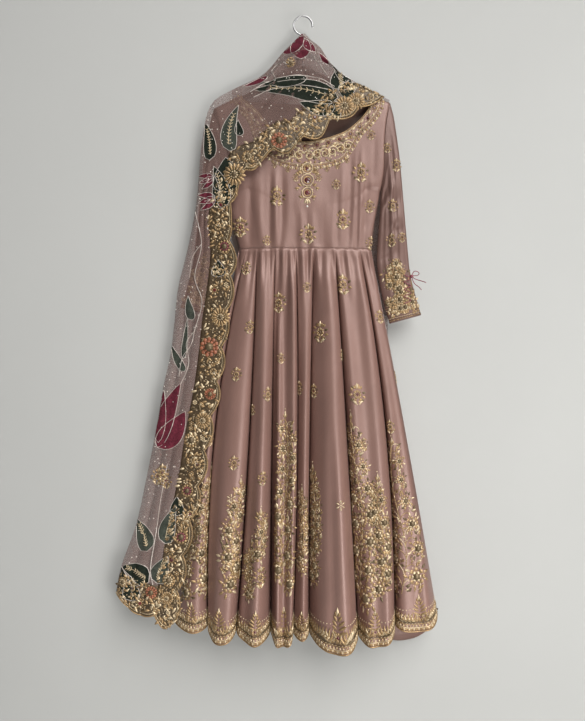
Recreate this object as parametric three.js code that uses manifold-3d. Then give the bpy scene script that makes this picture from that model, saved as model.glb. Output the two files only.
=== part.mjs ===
// Floor-length flared kameez with its net dupatta, on a coat hanger.
// Millimetres, +Z up, X across, and the front faces -Y. The origin is the inside top of the hook.
// "left" and "right" are as seen from the front, so the right side is +X.
import * as THREE from "three";
import { mergeVertices } from "three/addons/utils/BufferGeometryUtils.js";
import Module from "manifold-3d";

const wasm = await Module();
wasm.setup();

// ---------------------------------------------------------------- driving sizes
const SEAM = 0.15; // half of the gap between two sewn pieces
const SATIN = 2; // wall of the kameez
const NET = 1.2; // wall of the dupatta's net
const BORDER = 2.2; // wall of its embroidered border
const WAIST_Z = -570;
const NECK_Z = -117; // the shoulder lines, drawn on to the middle of the hanger
const SLOPE_RIGHT = 0.441; // fall of the shoulder line for each mm across
const SLOPE_LEFT = 0.493;
const TIP_RIGHT = 213;
const TIP_LEFT = -217;
const ARMHOLE_SHARE = 0.6045; // of the way from the shoulder's tip to the waist
const ARMHOLE_DEPTH = 12; // half of the armhole's opening, front to back
// The armhole's points, in degrees round from the shoulder's tip.
const ARMHOLE_ANGLES = [0, 13, 27, 47, 69, 91, 113, 135, 157, 180];
const ARMHOLE_FULLNESS = 0.35; // power of the oval that the armhole opens in
const LEFT_SLEEVE_LENGTH = 0.94; // the left sleeve hangs a little crumpled
const LEFT_SLEEVE_SPLAY = 8;

const FOLD_GROWTH = 0.85; // how soon below the waist the skirt's folds open
const FOLD_ROUND = 1.6; // power of the sine that a fold's section follows
const KALI_STEPS = 10;
const BACK_STEPS = 8;
const SKIRT_ROWS = [0, 0.13, 0.29, 0.47, 0.65, 0.83, 1];
const BACK_ROWS = [0, 0.2, 0.42, 0.66, 0.85, 1];

// Seams between the kalis: x at waist, middle and hem, depth at waist and hem, and the hem's height.
const FRONT_SEAMS = [
  { waist: -157, middle: -238, hem: -318, waistY: 0, hemY: 0, hemZ: -1462 },
  { waist: -139, middle: -213, hem: -228, waistY: -8, hemY: -34, hemZ: -1472 },
  { waist: -112, middle: -128, hem: -160, waistY: -16, hemY: -44, hemZ: -1480 },
  { waist: -68, middle: -75, hem: -79, waistY: -21, hemY: -48, hemZ: -1482 },
  { waist: -17, middle: -13, hem: -25, waistY: -23, hemY: -46, hemZ: -1482 },
  { waist: 26, middle: 16, hem: 13, waistY: -23, hemY: -50, hemZ: -1484 },
  { waist: 77, middle: 105, hem: 130, waistY: -21, hemY: -50, hemZ: -1488 },
  { waist: 138, middle: 200, hem: 220, waistY: -12, hemY: -34, hemZ: -1474 },
  { waist: 167, middle: 247, hem: 328, waistY: 0, hemY: 0, hemZ: -1460 },
];
// Each kali's fold: depth of its crest at waist and hem, its lean sideways, and its hem scallop's drop.
const FRONT_KALIS = [
  { waistY: -8, hemY: -50, lean: 4, drop: 20 },
  { waistY: -16, hemY: -84, lean: -6, drop: 28 },
  { waistY: -22, hemY: -92, lean: 6, drop: 20 },
  { waistY: -26, hemY: -100, lean: 5, drop: 27 },
  { waistY: -27, hemY: -66, lean: 0, drop: 16 },
  { waistY: -27, hemY: -112, lean: 8, drop: 28 },
  { waistY: -22, hemY: -98, lean: -8, drop: 26 },
  { waistY: -10, hemY: -56, lean: 6, drop: 18 },
];
const BACK_SEAMS = [
  { waist: -157, middle: -238, hem: -318, waistY: 0, hemY: 0, hemZ: -1462 },
  { waist: -105, middle: -160, hem: -212, waistY: 11, hemY: 5, hemZ: -1480 },
  { waist: -52, middle: -78, hem: -110, waistY: 13, hemY: 4, hemZ: -1488 },
  { waist: 4, middle: 4, hem: -8, waistY: 14, hemY: 5, hemZ: -1490 },
  { waist: 60, middle: 86, hem: 98, waistY: 13, hemY: 4, hemZ: -1492 },
  { waist: 112, middle: 168, hem: 205, waistY: 11, hemY: 5, hemZ: -1512 },
  { waist: 167, middle: 247, hem: 328, waistY: 0, hemY: 0, hemZ: -1460 },
];
const BACK_KALIS = [
  { waistY: 11, hemY: 28, lean: 0, drop: 26 },
  { waistY: 15, hemY: 29, lean: 6, drop: 24 },
  { waistY: 16, hemY: 29, lean: -4, drop: 22 },
  { waistY: 16, hemY: 29, lean: 5, drop: 24 },
  { waistY: 15, hemY: 29, lean: -6, drop: 24 },
  { waistY: 11, hemY: 28, lean: 0, drop: 50 },
];

// Top edge of the bodice from its left tip to its right one. "seam" points lie on the shoulder lines.
const FRONT_NECK = [
  { x: TIP_LEFT, seam: true },
  { x: -184, seam: true },
  { x: -150, seam: true },
  { x: -147, z: -204 },
  { x: -120, z: -224 },
  { x: -94, z: -254 },
  { x: -70, z: -281 },
  { x: -36, z: -301 },
  { x: 5, z: -309 },
  { x: 46, z: -303 },
  { x: 80, z: -293 },
  { x: 109, z: -279 },
  { x: 140, z: -252 },
  { x: 161, z: -224 },
  { x: 166, z: -206 },
  { x: 168, seam: true },
  { x: 190, seam: true },
  { x: TIP_RIGHT, seam: true },
];
const BACK_NECK = [
  { x: TIP_LEFT, seam: true },
  { x: -184, seam: true },
  { x: -150, seam: true },
  { x: -147, z: -198 },
  { x: -128, z: -204 },
  { x: -95, z: -207 },
  { x: -45, z: -210 },
  { x: 5, z: -211 },
  { x: 55, z: -210 },
  { x: 105, z: -207 },
  { x: 146, z: -204 },
  { x: 165, z: -200 },
  { x: 168, seam: true },
  { x: 190, seam: true },
  { x: TIP_RIGHT, seam: true },
];
// Side edges of the bodice, armhole and side seam, by the share of the way from tip to waist.
const SIDES = [
  { down: 0, left: TIP_LEFT, right: TIP_RIGHT },
  { down: 0.12, left: -207, right: 203 },
  { down: 0.26, left: -202, right: 198 },
  { down: 0.45, left: -201, right: 197 },
  { down: ARMHOLE_SHARE, left: -192, right: 190 },
  { down: 0.8, left: -176, right: 177 },
  { down: 1, left: -157, right: 167 },
];
// Depth of the bodice in the middle, in front of the hanger and behind it.
const BODICE_DEPTH = [
  { z: -180, front: 9, back: 9 },
  { z: -300, front: 14, back: 11 },
  { z: -430, front: 20, back: 14 },
  { z: -570, front: 24, back: 15 },
];
const SHOULDER_ROUND = 8; // how far below its seam a shoulder reaches its full depth
const BODICE_SQUARE = 2.4; // power of the oval that the bodice's section follows
// Soft folds of the bodice's front: place across it, half width, and height at the waist.
const BODICE_FOLDS = [
  { at: 0.2, half: 0.035, high: 4 },
  { at: 0.33, half: 0.04, high: 5 },
  { at: 0.47, half: 0.03, high: 3 },
  { at: 0.58, half: 0.04, high: 5 },
  { at: 0.71, half: 0.035, high: 5 },
  { at: 0.84, half: 0.03, high: 4 },
];

// Right sleeve: its outer and inner edges seen from the front, half of its depth, and its middle's depth.
const SLEEVE = [
  { outerX: 222, outerZ: -245, innerX: 189.5, innerZ: -436, half: 12, middle: -1 },
  { outerX: 229, outerZ: -290, innerX: 189, innerZ: -447, half: 12, middle: -2 },
  { outerX: 236, outerZ: -345, innerX: 188.5, innerZ: -462, half: 12, middle: -4 },
  { outerX: 241, outerZ: -402, innerX: 187.5, innerZ: -482, half: 12, middle: -6 },
  { outerX: 246, outerZ: -462, innerX: 185, innerZ: -510, half: 11, middle: -7 },
  { outerX: 251, outerZ: -523, innerX: 182, innerZ: -548, half: 11, middle: -8 },
  { outerX: 256, outerZ: -580, innerX: 180, innerZ: -590, half: 11, middle: -8 },
  { outerX: 260, outerZ: -620, innerX: 183, innerZ: -630, half: 11, middle: -8 },
  { outerX: 268, outerZ: -660, innerX: 190, innerZ: -671, half: 11, middle: -8 },
  { outerX: 278, outerZ: -696, innerX: 199, innerZ: -712, half: 12, middle: -8 },
  { outerX: 288, outerZ: -731, innerX: 211, innerZ: -752, half: 13, middle: -8 },
];
const CUFF_SLIT = { x: 253, top: -620, bottom: -705, half: 6, from: -8 };

// The dupatta, row by row from the right shoulder to the end at the left: its upper or outer edge, its
// scalloped edge, and the width of the border along that.
const DUPATTA = [
  { outerX: 103, outerZ: -149, outerY: -1, edgeX: 212, edgeZ: -203, edgeY: -2.5, band: 80 },
  { outerX: 92, outerZ: -141, outerY: -1, edgeX: 198, edgeZ: -206, edgeY: -12, band: 80 },
  { outerX: 78, outerZ: -130, outerY: -1, edgeX: 168, edgeZ: -222, edgeY: -17, band: 80 },
  { outerX: 59, outerZ: -101, outerY: -1, edgeX: 125, edgeZ: -251, edgeY: -22, band: 80 },
  { outerX: 42, outerZ: -75, outerY: -1.5, edgeX: 72, edgeZ: -270, edgeY: -27, band: 80 },
  { outerX: 20, outerZ: -58, outerY: -3, edgeX: 40, edgeZ: -307, edgeY: -31, band: 80 },
  { outerX: 0, outerZ: -42, outerY: -4.5, edgeX: -10, edgeZ: -322, edgeY: -33, band: 80 },
  { outerX: -24, outerZ: -63, outerY: -3, edgeX: -39, edgeZ: -347, edgeY: -36, band: 80 },
  { outerX: -49, outerZ: -87, outerY: -1.5, edgeX: -84, edgeZ: -352, edgeY: -36, band: 80 },
  { outerX: -100, outerZ: -143, outerY: -1, edgeX: -120, edgeZ: -390, edgeY: -36, band: 80 },
  { outerX: -174, outerZ: -180, outerY: -3, edgeX: -144, edgeZ: -404, edgeY: -34, band: 80 },
  { outerX: -226, outerZ: -220, outerY: -7, edgeX: -154, edgeZ: -423, edgeY: -34, band: 80 },
  { outerX: -247, outerZ: -314, outerY: -9, edgeX: -161, edgeZ: -456, edgeY: -32, band: 76 },
  { outerX: -259, outerZ: -451, outerY: -10, edgeX: -171, edgeZ: -518, edgeY: -30, band: 72 },
  { outerX: -279, outerZ: -561, outerY: -10, edgeX: -159, edgeZ: -604, edgeY: -29, band: 70 },
  { outerX: -304, outerZ: -664, outerY: -10, edgeX: -167, edgeZ: -696, edgeY: -30, band: 70 },
  { outerX: -314, outerZ: -755, outerY: -10, edgeX: -176, edgeZ: -756, edgeY: -32, band: 70 },
  { outerX: -323, outerZ: -828, outerY: -10, edgeX: -183, edgeZ: -816, edgeY: -34, band: 70 },
  { outerX: -340, outerZ: -906, outerY: -12, edgeX: -194, edgeZ: -907, edgeY: -38, band: 70 },
  { outerX: -357, outerZ: -1009, outerY: -14, edgeX: -213, edgeZ: -1007, edgeY: -43, band: 70 },
  { outerX: -380, outerZ: -1128, outerY: -18, edgeX: -231, edgeZ: -1121, edgeY: -50, band: 70 },
  { outerX: -404, outerZ: -1239, outerY: -22, edgeX: -256, edgeZ: -1231, edgeY: -57, band: 68 },
  { outerX: -437, outerZ: -1333, outerY: -26, edgeX: -277, edgeZ: -1351, edgeY: -63, band: 64 },
  { outerX: -450, outerZ: -1399, outerY: -30, edgeX: -297, edgeZ: -1468, edgeY: -66, band: 62 },
];
const LAST_ROW = DUPATTA.length - 1;
const TURN_ROW = 11; // where the dupatta turns from the chest into its fall
const END_BAND_ROW = 22.3; // where the border along its end begins
const SCALLOPS = 18; // along the whole scalloped edge
const SCALLOP_DEPTH = 15;
const END_SCALLOPS = 3;
const END_SCALLOP_DEPTH = 20;
const FORWARD_EASE = 1.6; // how soon the dupatta comes forward from its outer edge
const COWL_SWELL = 7; // how far the net over the hanger swells forward
const FALL_RIPPLE = 4; // long soft folds of the net's fall
const BEHIND_LENGTH = 860; // of the stretch that hangs behind the right shoulder
const COWL_BACK_LENGTH = 130;

const HOOK_WIRE = 4.4;
const HOOK_RADIUS = 23; // of the wire's middle line
const HANGER_THICK = 4.4;
const HANGER_HIGH = 16;
const HANGER_TIP = 202;
const HANGER_DROP = 3.3; // from the shoulder seams' outside down to the hanger's ridge
const LACE = 2; // the cuff's cord
const LACE_CLEAR = 0.6;
const LACE_CROSSINGS = 8;
const LACE_REACH = 8.5; // to each side of the slit

// ---------------------------------------------------------------- finishes
function finish(color, roughness, metalness = 0) {
  return new THREE.MeshStandardMaterial({ color, roughness, metalness });
}
const SATIN_CLOTH = finish(0x9c7f79, 0.42);
const NET_CLOTH = finish(0x8e7a78, 0.8);
const GOLD_BORDER = finish(0xa48e68, 0.5, 0.4);
const STEEL = finish(0xb8babd, 0.28, 1);
const HANGER_PLASTIC = finish(0x3a3634, 0.5);
const CORD = finish(0x7c3640, 0.7);

// ---------------------------------------------------------------- small tools
const lerp = (a, b, t) => a + (b - a) * t;
const clamp = (v, low, high) => Math.min(high, Math.max(low, v));
const smoothstep = (v, low, high) => {
  const t = clamp((v - low) / (high - low), 0, 1);
  return t * t * (3 - 2 * t);
};
const steps = (n, from = 0, to = 1) => Array.from({ length: n + 1 }, (_, i) => lerp(from, to, i / n));
const point = (x, y, z) => new THREE.Vector3(x, y, z);

// A smooth curve through a table: its column `name` over its column `by`, or over the row's number.
function curve(table, name, by) {
  const rows = table.map((row, i) => ({ at: by ? row[by] : i, value: row[name] }));
  rows.sort((a, b) => a.at - b.at);
  const slope = rows.map((row, i) => {
    const before = rows[Math.max(0, i - 1)];
    const after = rows[Math.min(rows.length - 1, i + 1)];
    return (after.value - before.value) / (after.at - before.at);
  });
  return (at) => {
    const place = clamp(at, rows[0].at, rows[rows.length - 1].at);
    const i = clamp(rows.findIndex((row) => row.at > place) - 1, 0, rows.length - 2);
    const k = place >= rows[rows.length - 1].at ? rows.length - 2 : i;
    const span = rows[k + 1].at - rows[k].at;
    const t = (place - rows[k].at) / span;
    return (
      (1 + 2 * t) * (1 - t) ** 2 * rows[k].value +
      t * (1 - t) ** 2 * span * slope[k] +
      t * t * (3 - 2 * t) * rows[k + 1].value +
      t * t * (t - 1) * span * slope[k + 1]
    );
  };
}

// A closed wall between an outer and an inner grid of points. A ring joins its last column to its first.
function wall(outer, inner, ring = false) {
  const rows = outer.length;
  const columns = outer[0].length;
  const positions = [...outer.flat(), ...inner.flat()].flatMap((p) => [p.x, p.y, p.z]);
  const at = (side, r, c) => side * rows * columns + r * columns + (c % columns);
  const index = [];
  const quad = (a, b, c, d) => index.push(a, b, c, a, c, d);
  const cells = ring ? columns : columns - 1;
  for (let r = 0; r < rows - 1; r++)
    for (let c = 0; c < cells; c++) {
      quad(at(0, r, c), at(0, r + 1, c), at(0, r + 1, c + 1), at(0, r, c + 1));
      quad(at(1, r, c), at(1, r, c + 1), at(1, r + 1, c + 1), at(1, r + 1, c));
    }
  for (let c = 0; c < cells; c++) {
    quad(at(0, 0, c), at(0, 0, c + 1), at(1, 0, c + 1), at(1, 0, c));
    quad(at(0, rows - 1, c), at(1, rows - 1, c), at(1, rows - 1, c + 1), at(0, rows - 1, c + 1));
  }
  if (!ring)
    for (let r = 0; r < rows - 1; r++) {
      quad(at(0, r, 0), at(1, r, 0), at(1, r + 1, 0), at(0, r + 1, 0));
      quad(at(0, r, cells), at(0, r + 1, cells), at(1, r + 1, cells), at(1, r, cells));
    }
  return facingOut(positions, index);
}

// The geometry of those triangles, turned round where they enclose a negative volume.
function facingOut(positions, index) {
  const corner = (i) => point(...positions.slice(3 * index[i], 3 * index[i] + 3));
  let volume = 0;
  for (let i = 0; i < index.length; i += 3)
    volume += corner(i).dot(corner(i + 1).cross(corner(i + 2)));
  if (volume < 0)
    for (let i = 0; i < index.length; i += 3) [index[i], index[i + 1]] = [index[i + 1], index[i]];
  const geometry = new THREE.BufferGeometry();
  geometry.setAttribute("position", new THREE.Float32BufferAttribute(positions, 3));
  geometry.setIndex(index);
  return geometry;
}

// The unit normals of a grid of points, on the side that `towards` lies on.
function normals(grid, towards) {
  return grid.map((row, r) =>
    row.map((_, c) => {
      const down = grid[Math.min(grid.length - 1, r + 1)][c].clone().sub(grid[Math.max(0, r - 1)][c]);
      const across = row[Math.min(row.length - 1, c + 1)].clone().sub(row[Math.max(0, c - 1)]);
      const n = down.cross(across).normalize();
      return n.dot(towards) < 0 ? n.negate() : n;
    }),
  );
}

const moved = (grid, directions, distance) =>
  grid.map((row, r) => row.map((p, c) => p.clone().addScaledVector(directions[r][c], distance)));

// A bar through a row of rings of points, closed at both ends.
function loft(rings) {
  const sides = rings[0].length;
  const positions = rings.flat().flatMap((p) => [p.x, p.y, p.z]);
  const index = [];
  for (let r = 0; r < rings.length - 1; r++)
    for (let c = 0; c < sides; c++) {
      const next = (c + 1) % sides;
      const [a, b] = [r * sides + c, r * sides + next];
      index.push(a, b, b + sides, a, b + sides, a + sides);
    }
  const last = (rings.length - 1) * sides;
  for (let c = 1; c < sides - 1; c++) index.push(0, c + 1, c, last, last + c, last + c + 1);
  return facingOut(positions, index);
}

// A round rod or cord along a smooth curve through points.
function rod(points, diameter, { sides = 8, count = 40 } = {}) {
  const section = new THREE.Shape();
  section.absarc(0, 0, diameter / 2, 0, 2 * Math.PI);
  const geometry = new THREE.ExtrudeGeometry(section, {
    curveSegments: sides / 2,
    steps: count,
    extrudePath: new THREE.CatmullRomCurve3(points, false, "centripetal"),
  });
  return geometry;
}

// A closed geometry as a manifold-3d solid, and a solid as a geometry again.
function solid(geometry) {
  const bare = geometry.clone();
  for (const name of Object.keys(bare.attributes)) if (name !== "position") bare.deleteAttribute(name);
  const merged = mergeVertices(bare, 1e-3);
  return new wasm.Manifold(
    new wasm.Mesh({
      numProp: 3,
      vertProperties: merged.attributes.position.array,
      triVerts: new Uint32Array(merged.index.array),
    }),
  );
}
function shape(made) {
  const mesh = made.getMesh();
  const geometry = new THREE.BufferGeometry();
  geometry.setAttribute("position", new THREE.BufferAttribute(new Float32Array(mesh.vertProperties), 3));
  geometry.setIndex(new THREE.BufferAttribute(new Uint32Array(mesh.triVerts), 1));
  return geometry;
}

const garment = new THREE.Group();
function add(name, geometry, material) {
  const mesh = new THREE.Mesh(geometry, material);
  mesh.name = name;
  garment.add(mesh);
}

// ---------------------------------------------------------------- skirt: kalis, each one deep soft fold
// Place of a seam across the skirt, on a curve through its waist, middle and hem.
const MIDDLE = 0.476;
function seamX(seam, s) {
  const bow = seam.middle - lerp(seam.waist, seam.hem, MIDDLE);
  return lerp(seam.waist, seam.hem, s) + (bow * s * (1 - s)) / (MIDDLE * (1 - MIDDLE));
}

function kaliPoint(seams, kali, k, t, s) {
  const [a, b] = [seams[k], seams[k + 1]];
  const grown = s ** FOLD_GROWTH;
  const turn = Math.PI * t;
  const arch = Math.sin(turn) ** FOLD_ROUND;
  const ya = lerp(a.waistY, a.hemY, grown);
  const yb = lerp(b.waistY, b.hemY, grown);
  const crest = lerp(kali.waistY, kali.hemY, grown);
  const hem = lerp(a.hemZ, b.hemZ, t) - kali.drop * Math.sin(turn);
  return point(
    lerp(seamX(a, s), seamX(b, s), (1 - Math.cos(turn)) / 2) + kali.lean * s * Math.sin(turn) ** 2,
    lerp(ya, yb, t) + (crest - (ya + yb) / 2) * arch,
    lerp(WAIST_Z - SEAM, hem, s),
  );
}

// facing is -1 for the front and +1 for the back: the walls thicken the other way.
function kaliWall(seams, kalis, k, facing, count, rows) {
  const outer = rows.map((s) => steps(count).map((t) => kaliPoint(seams, kalis[k], k, t, s)));
  const inner = outer.map((row) =>
    row.map((p, c) => {
      const ahead = row[Math.min(count, c + 1)];
      const behind = row[Math.max(0, c - 1)];
      const inward = point(facing * (ahead.y - behind.y), -facing * (ahead.x - behind.x), 0).normalize();
      const sideSeam = (c === 0 && k === 0) || (c === count && k === kalis.length - 1);
      if (sideSeam) inward.set(c === 0 ? 1 : -1, 0, 0);
      else if (c === 0 || c === count) inward.set(0, -facing, 0);
      return p.clone().addScaledVector(inward, SATIN);
    }),
  );
  for (const grid of [outer, inner])
    for (const row of grid) {
      row[0].x += k > 0 ? SEAM : 0;
      row[count].x -= k < kalis.length - 1 ? SEAM : 0;
      for (const p of row) p.y = facing * Math.max(facing * p.y, SEAM);
    }
  return wall(outer, inner);
}

function buildSkirt() {
  for (let k = 0; k < FRONT_KALIS.length; k++) {
    const front = kaliWall(FRONT_SEAMS, FRONT_KALIS, k, -1, KALI_STEPS, SKIRT_ROWS);
    add(`skirt_front_${k + 1}`, front, SATIN_CLOTH);
  }
  for (let k = 0; k < BACK_KALIS.length; k++) {
    const back = kaliWall(BACK_SEAMS, BACK_KALIS, k, 1, BACK_STEPS, BACK_ROWS);
    add(`skirt_back_${k + 1}`, back, SATIN_CLOTH);
  }
}

// ---------------------------------------------------------------- bodice
const shoulderZ = (x) => NECK_Z - (x > 0 ? SLOPE_RIGHT * x : -SLOPE_LEFT * x);
const sideX = { left: curve(SIDES, "left", "down"), right: curve(SIDES, "right", "down") };
const bodiceDepth = { front: curve(BODICE_DEPTH, "front", "z"), back: curve(BODICE_DEPTH, "back", "z") };

// Share of the way down of each row of the bodice: rows on the armhole's points, then three to the waist.
const armholeAngles = ARMHOLE_ANGLES.map((degrees) => (degrees * Math.PI) / 180);
const BODICE_ROWS = [
  ...armholeAngles.map((angle) => (ARMHOLE_SHARE * (1 - Math.cos(angle))) / 2),
  ...steps(3, ARMHOLE_SHARE, 1).slice(1),
];
// Half of the opening between front and back at the bodice's side edge.
function sideOpening(down) {
  const q = clamp(down / ARMHOLE_SHARE, 0, 1);
  return ARMHOLE_DEPTH * (4 * q * (1 - q)) ** ARMHOLE_FULLNESS;
}

function bodicePoint(top, side, down) {
  const share = (top.x - TIP_LEFT) / (TIP_RIGHT - TIP_LEFT);
  const topZ = top.seam ? shoulderZ(top.x) : top.z;
  const z = lerp(topZ, WAIST_Z + SEAM, down);
  const x = lerp(sideX.left(down), sideX.right(down), share);
  const oval = Math.max(0, 1 - Math.abs(2 * share - 1) ** BODICE_SQUARE) ** (1 / BODICE_SQUARE);
  const edge = sideOpening(down);
  let depth = edge + Math.max(0, bodiceDepth[side](z) - edge) * oval;
  if (side === "front")
    for (const fold of BODICE_FOLDS)
      depth +=
        fold.high * smoothstep(down, 0.15, 1) * Math.exp(-(((share - fold.at) / fold.half) ** 2)) * oval;
  if (top.seam) {
    const below = clamp((topZ - z) / SHOULDER_ROUND, 0, 1);
    depth *= Math.sqrt(1 - (1 - below) ** 2);
  }
  const facing = side === "front" ? -1 : 1;
  return point(x, facing * Math.max(depth, SEAM), z);
}

function halved(table) {
  return table.flatMap((row, i) => {
    const next = table[i + 1];
    if (!next) return [row];
    const middle = { x: (row.x + next.x) / 2, seam: row.seam && next.seam };
    if (!middle.seam) {
      const z = (r) => (r.seam ? shoulderZ(r.x) : r.z);
      middle.z = (z(row) + z(next)) / 2;
    }
    return [row, middle];
  });
}

function bodiceWall(side, neck) {
  const facing = side === "front" ? -1 : 1;
  const outer = BODICE_ROWS.map((down) => neck.map((top) => bodicePoint(top, side, down)));
  const inward = normals(outer, point(0, -facing, 0));
  const last = neck.length - 1;
  BODICE_ROWS.forEach((down, r) =>
    neck.forEach((top, c) => {
      const n = inward[r][c];
      const atSide = c === 0 || c === last;
      if (r === 0 && top.seam) n.set(0, 0, -1);
      else if (atSide && down < ARMHOLE_SHARE - 1e-9) n.set(0, -facing, 0);
      else if (atSide) n.set(c === 0 ? 1 : -1, 0, 0);
      else if (r === 0 || r === BODICE_ROWS.length - 1) n.setZ(0).normalize();
    }),
  );
  return wall(outer, moved(outer, inward, SATIN));
}

// ---------------------------------------------------------------- sleeves
const tipZ = { left: shoulderZ(TIP_LEFT), right: shoulderZ(TIP_RIGHT) };

// Rings of a sleeve from the armhole down: outer end, inner end, half depth and middle depth.
function sleeveRings(side) {
  const right = SLEEVE.map((row) => ({
    outer: point(row.outerX, row.middle, row.outerZ),
    inner: point(row.innerX, row.middle, row.innerZ),
    half: row.half,
  }));
  if (side === "right") return right;
  return right.map((ring, i) => {
    const splay = (LEFT_SLEEVE_SPLAY * (i + 1)) / right.length;
    const mirror = (p) =>
      point(
        TIP_LEFT + TIP_RIGHT - p.x - splay,
        p.y / 2,
        tipZ.left + (p.z - tipZ.right) * LEFT_SLEEVE_LENGTH,
      );
    return { outer: mirror(ring.outer), inner: mirror(ring.inner), half: ring.half - 2 };
  });
}

function sleeveWall(side) {
  const behind = armholeAngles.slice(1, -1).reverse();
  const angles = [...armholeAngles, ...behind.map((angle) => 2 * Math.PI - angle)];
  const outward = side === "right" ? 1 : -1;
  const drop = WAIST_Z + SEAM - tipZ[side];
  const onArmhole = (y, z) => point(sideX[side]((z - tipZ[side]) / drop) + outward * 3 * SEAM, y, z);
  const armholeOuter = angles.map((angle) => {
    const down = (ARMHOLE_SHARE * (1 - Math.cos(angle))) / 2;
    return onArmhole(-Math.sign(Math.sin(angle)) * sideOpening(down), tipZ[side] + drop * down);
  });
  const armholeInner = armholeOuter.map((p, i) =>
    onArmhole(p.y + SATIN * Math.sin(angles[i]), p.z - SATIN * Math.cos(angles[i])),
  );
  const outer = [armholeOuter];
  const inner = [armholeInner];
  for (const ring of sleeveRings(side)) {
    const along = ring.inner.clone().sub(ring.outer);
    const halfWidth = along.length() / 2;
    const unit = along.clone().normalize();
    const edge = angles.map((angle) =>
      ring.outer
        .clone()
        .addScaledVector(along, (1 - Math.cos(angle)) / 2)
        .add(point(0, -ring.half * Math.sin(angle), 0)),
    );
    outer.push(edge);
    inner.push(
      edge.map((p, i) => {
        const inward = unit
          .clone()
          .multiplyScalar(Math.cos(angles[i]) / halfWidth)
          .add(point(0, Math.sin(angles[i]) / ring.half, 0))
          .normalize();
        return p.clone().addScaledVector(inward, SATIN);
      }),
    );
  }
  return wall(outer, inner, true);
}

// The laced slit, a pointed oval through the sleeve's front wall only.
function slitCutter() {
  const { x, top, bottom, half, from } = CUFF_SLIT;
  const middle = (top + bottom) / 2;
  const outline = new THREE.Shape();
  outline.moveTo(0, top - middle);
  outline.quadraticCurveTo(2 * half, 0, 0, bottom - middle);
  outline.quadraticCurveTo(-2 * half, 0, 0, top - middle);
  const cutter = new THREE.ExtrudeGeometry(outline, { depth: 40, bevelEnabled: false, curveSegments: 6 });
  return cutter.rotateX(Math.PI / 2).translate(x, from, middle);
}

function buildBodiceAndSleeves() {
  add("bodice_front", bodiceWall("front", halved(FRONT_NECK)), SATIN_CLOTH);
  add("bodice_back", bodiceWall("back", BACK_NECK), SATIN_CLOTH);
  add("sleeve_left", sleeveWall("left"), SATIN_CLOTH);
  add("sleeve_right", shape(solid(sleeveWall("right")).subtract(solid(slitCutter()))), SATIN_CLOTH);
}

// ---------------------------------------------------------------- dupatta
const dupatta = Object.fromEntries(
  Object.keys(DUPATTA[0]).map((name) => [name, curve(DUPATTA, name)]),
);
const outerLine = (row) => point(dupatta.outerX(row), dupatta.outerY(row), dupatta.outerZ(row));
const edgeLine = (row) => point(dupatta.edgeX(row), dupatta.edgeY(row), dupatta.edgeZ(row));

// Distance along the scalloped edge at each of many rows, to space the scallops evenly.
const EDGE_SAMPLES = 440;
const edgeLength = [0];
for (let i = 1; i <= EDGE_SAMPLES; i++) {
  const [before, after] = [i - 1, i].map((n) => edgeLine((LAST_ROW * n) / EDGE_SAMPLES));
  edgeLength.push(edgeLength[i - 1] + before.distanceTo(after));
}
const PITCH = edgeLength[EDGE_SAMPLES] / SCALLOPS;
function lengthAt(row) {
  const place = clamp((row / LAST_ROW) * EDGE_SAMPLES, 0, EDGE_SAMPLES - 1e-6);
  const i = Math.floor(place);
  return lerp(edgeLength[i], edgeLength[i + 1], place - i);
}
function rowAt(length) {
  const beyond = edgeLength.findIndex((value) => value >= length);
  const i = clamp(beyond < 0 ? EDGE_SAMPLES - 1 : beyond - 1, 0, EDGE_SAMPLES - 1);
  const found = i + (length - edgeLength[i]) / (edgeLength[i + 1] - edgeLength[i]);
  return (Math.min(found, EDGE_SAMPLES) / EDGE_SAMPLES) * LAST_ROW;
}
// How far the edge is drawn in at a place between scallops: nothing at a scallop's middle, all at its ends.
const drawnIn = (place, depth) => depth * (1 - Math.abs(Math.sin(Math.PI * place)) ** 0.8);

const bandShare = (row) => 1 - dupatta.band(row) / outerLine(row).distanceTo(edgeLine(row));

// A point of the dupatta: row along it, and across from its outer edge at 0 to its scalloped edge at 1.
function dupattaPoint(row, across) {
  const [from, to] = [outerLine(row), edgeLine(row)];
  const band = bandShare(row);
  const drawn = drawnIn(lengthAt(row) / PITCH, SCALLOP_DEPTH) * smoothstep(across, band, 1);
  const p = from.clone().lerp(to, across - drawn / from.distanceTo(to));
  p.y = lerp(from.y, to.y, 1 - (1 - across) ** FORWARD_EASE);
  const inNet = clamp(across / band, 0, 1);
  const cowl = smoothstep(row, 0, 2) * (1 - smoothstep(row, TURN_ROW - 2, TURN_ROW));
  p.y -= COWL_SWELL * Math.sin(Math.PI * inNet) * cowl;
  p.y -= FALL_RIPPLE * Math.abs(Math.sin(3 * Math.PI * inNet)) * smoothstep(row, TURN_ROW, TURN_ROW + 3);
  const place = across < band ? (END_SCALLOPS * across) / band : END_SCALLOPS + (across - band) / (1 - band);
  const reach = smoothstep(row, END_BAND_ROW, LAST_ROW);
  p.z -= reach * (END_SCALLOP_DEPTH - drawnIn(place, END_SCALLOP_DEPTH));
  return p;
}

// Every stretch of the dupatta thickens straight back, so that neighbours keep their gap through the wall.
function dupattaWall(rows, acrossOf, thickness) {
  const outer = rows.map((row) => acrossOf(row).map((across) => dupattaPoint(row, across)));
  return wall(
    outer,
    outer.map((points) => points.map((p) => p.clone().add(point(0, thickness, 0)))),
  );
}

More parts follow.
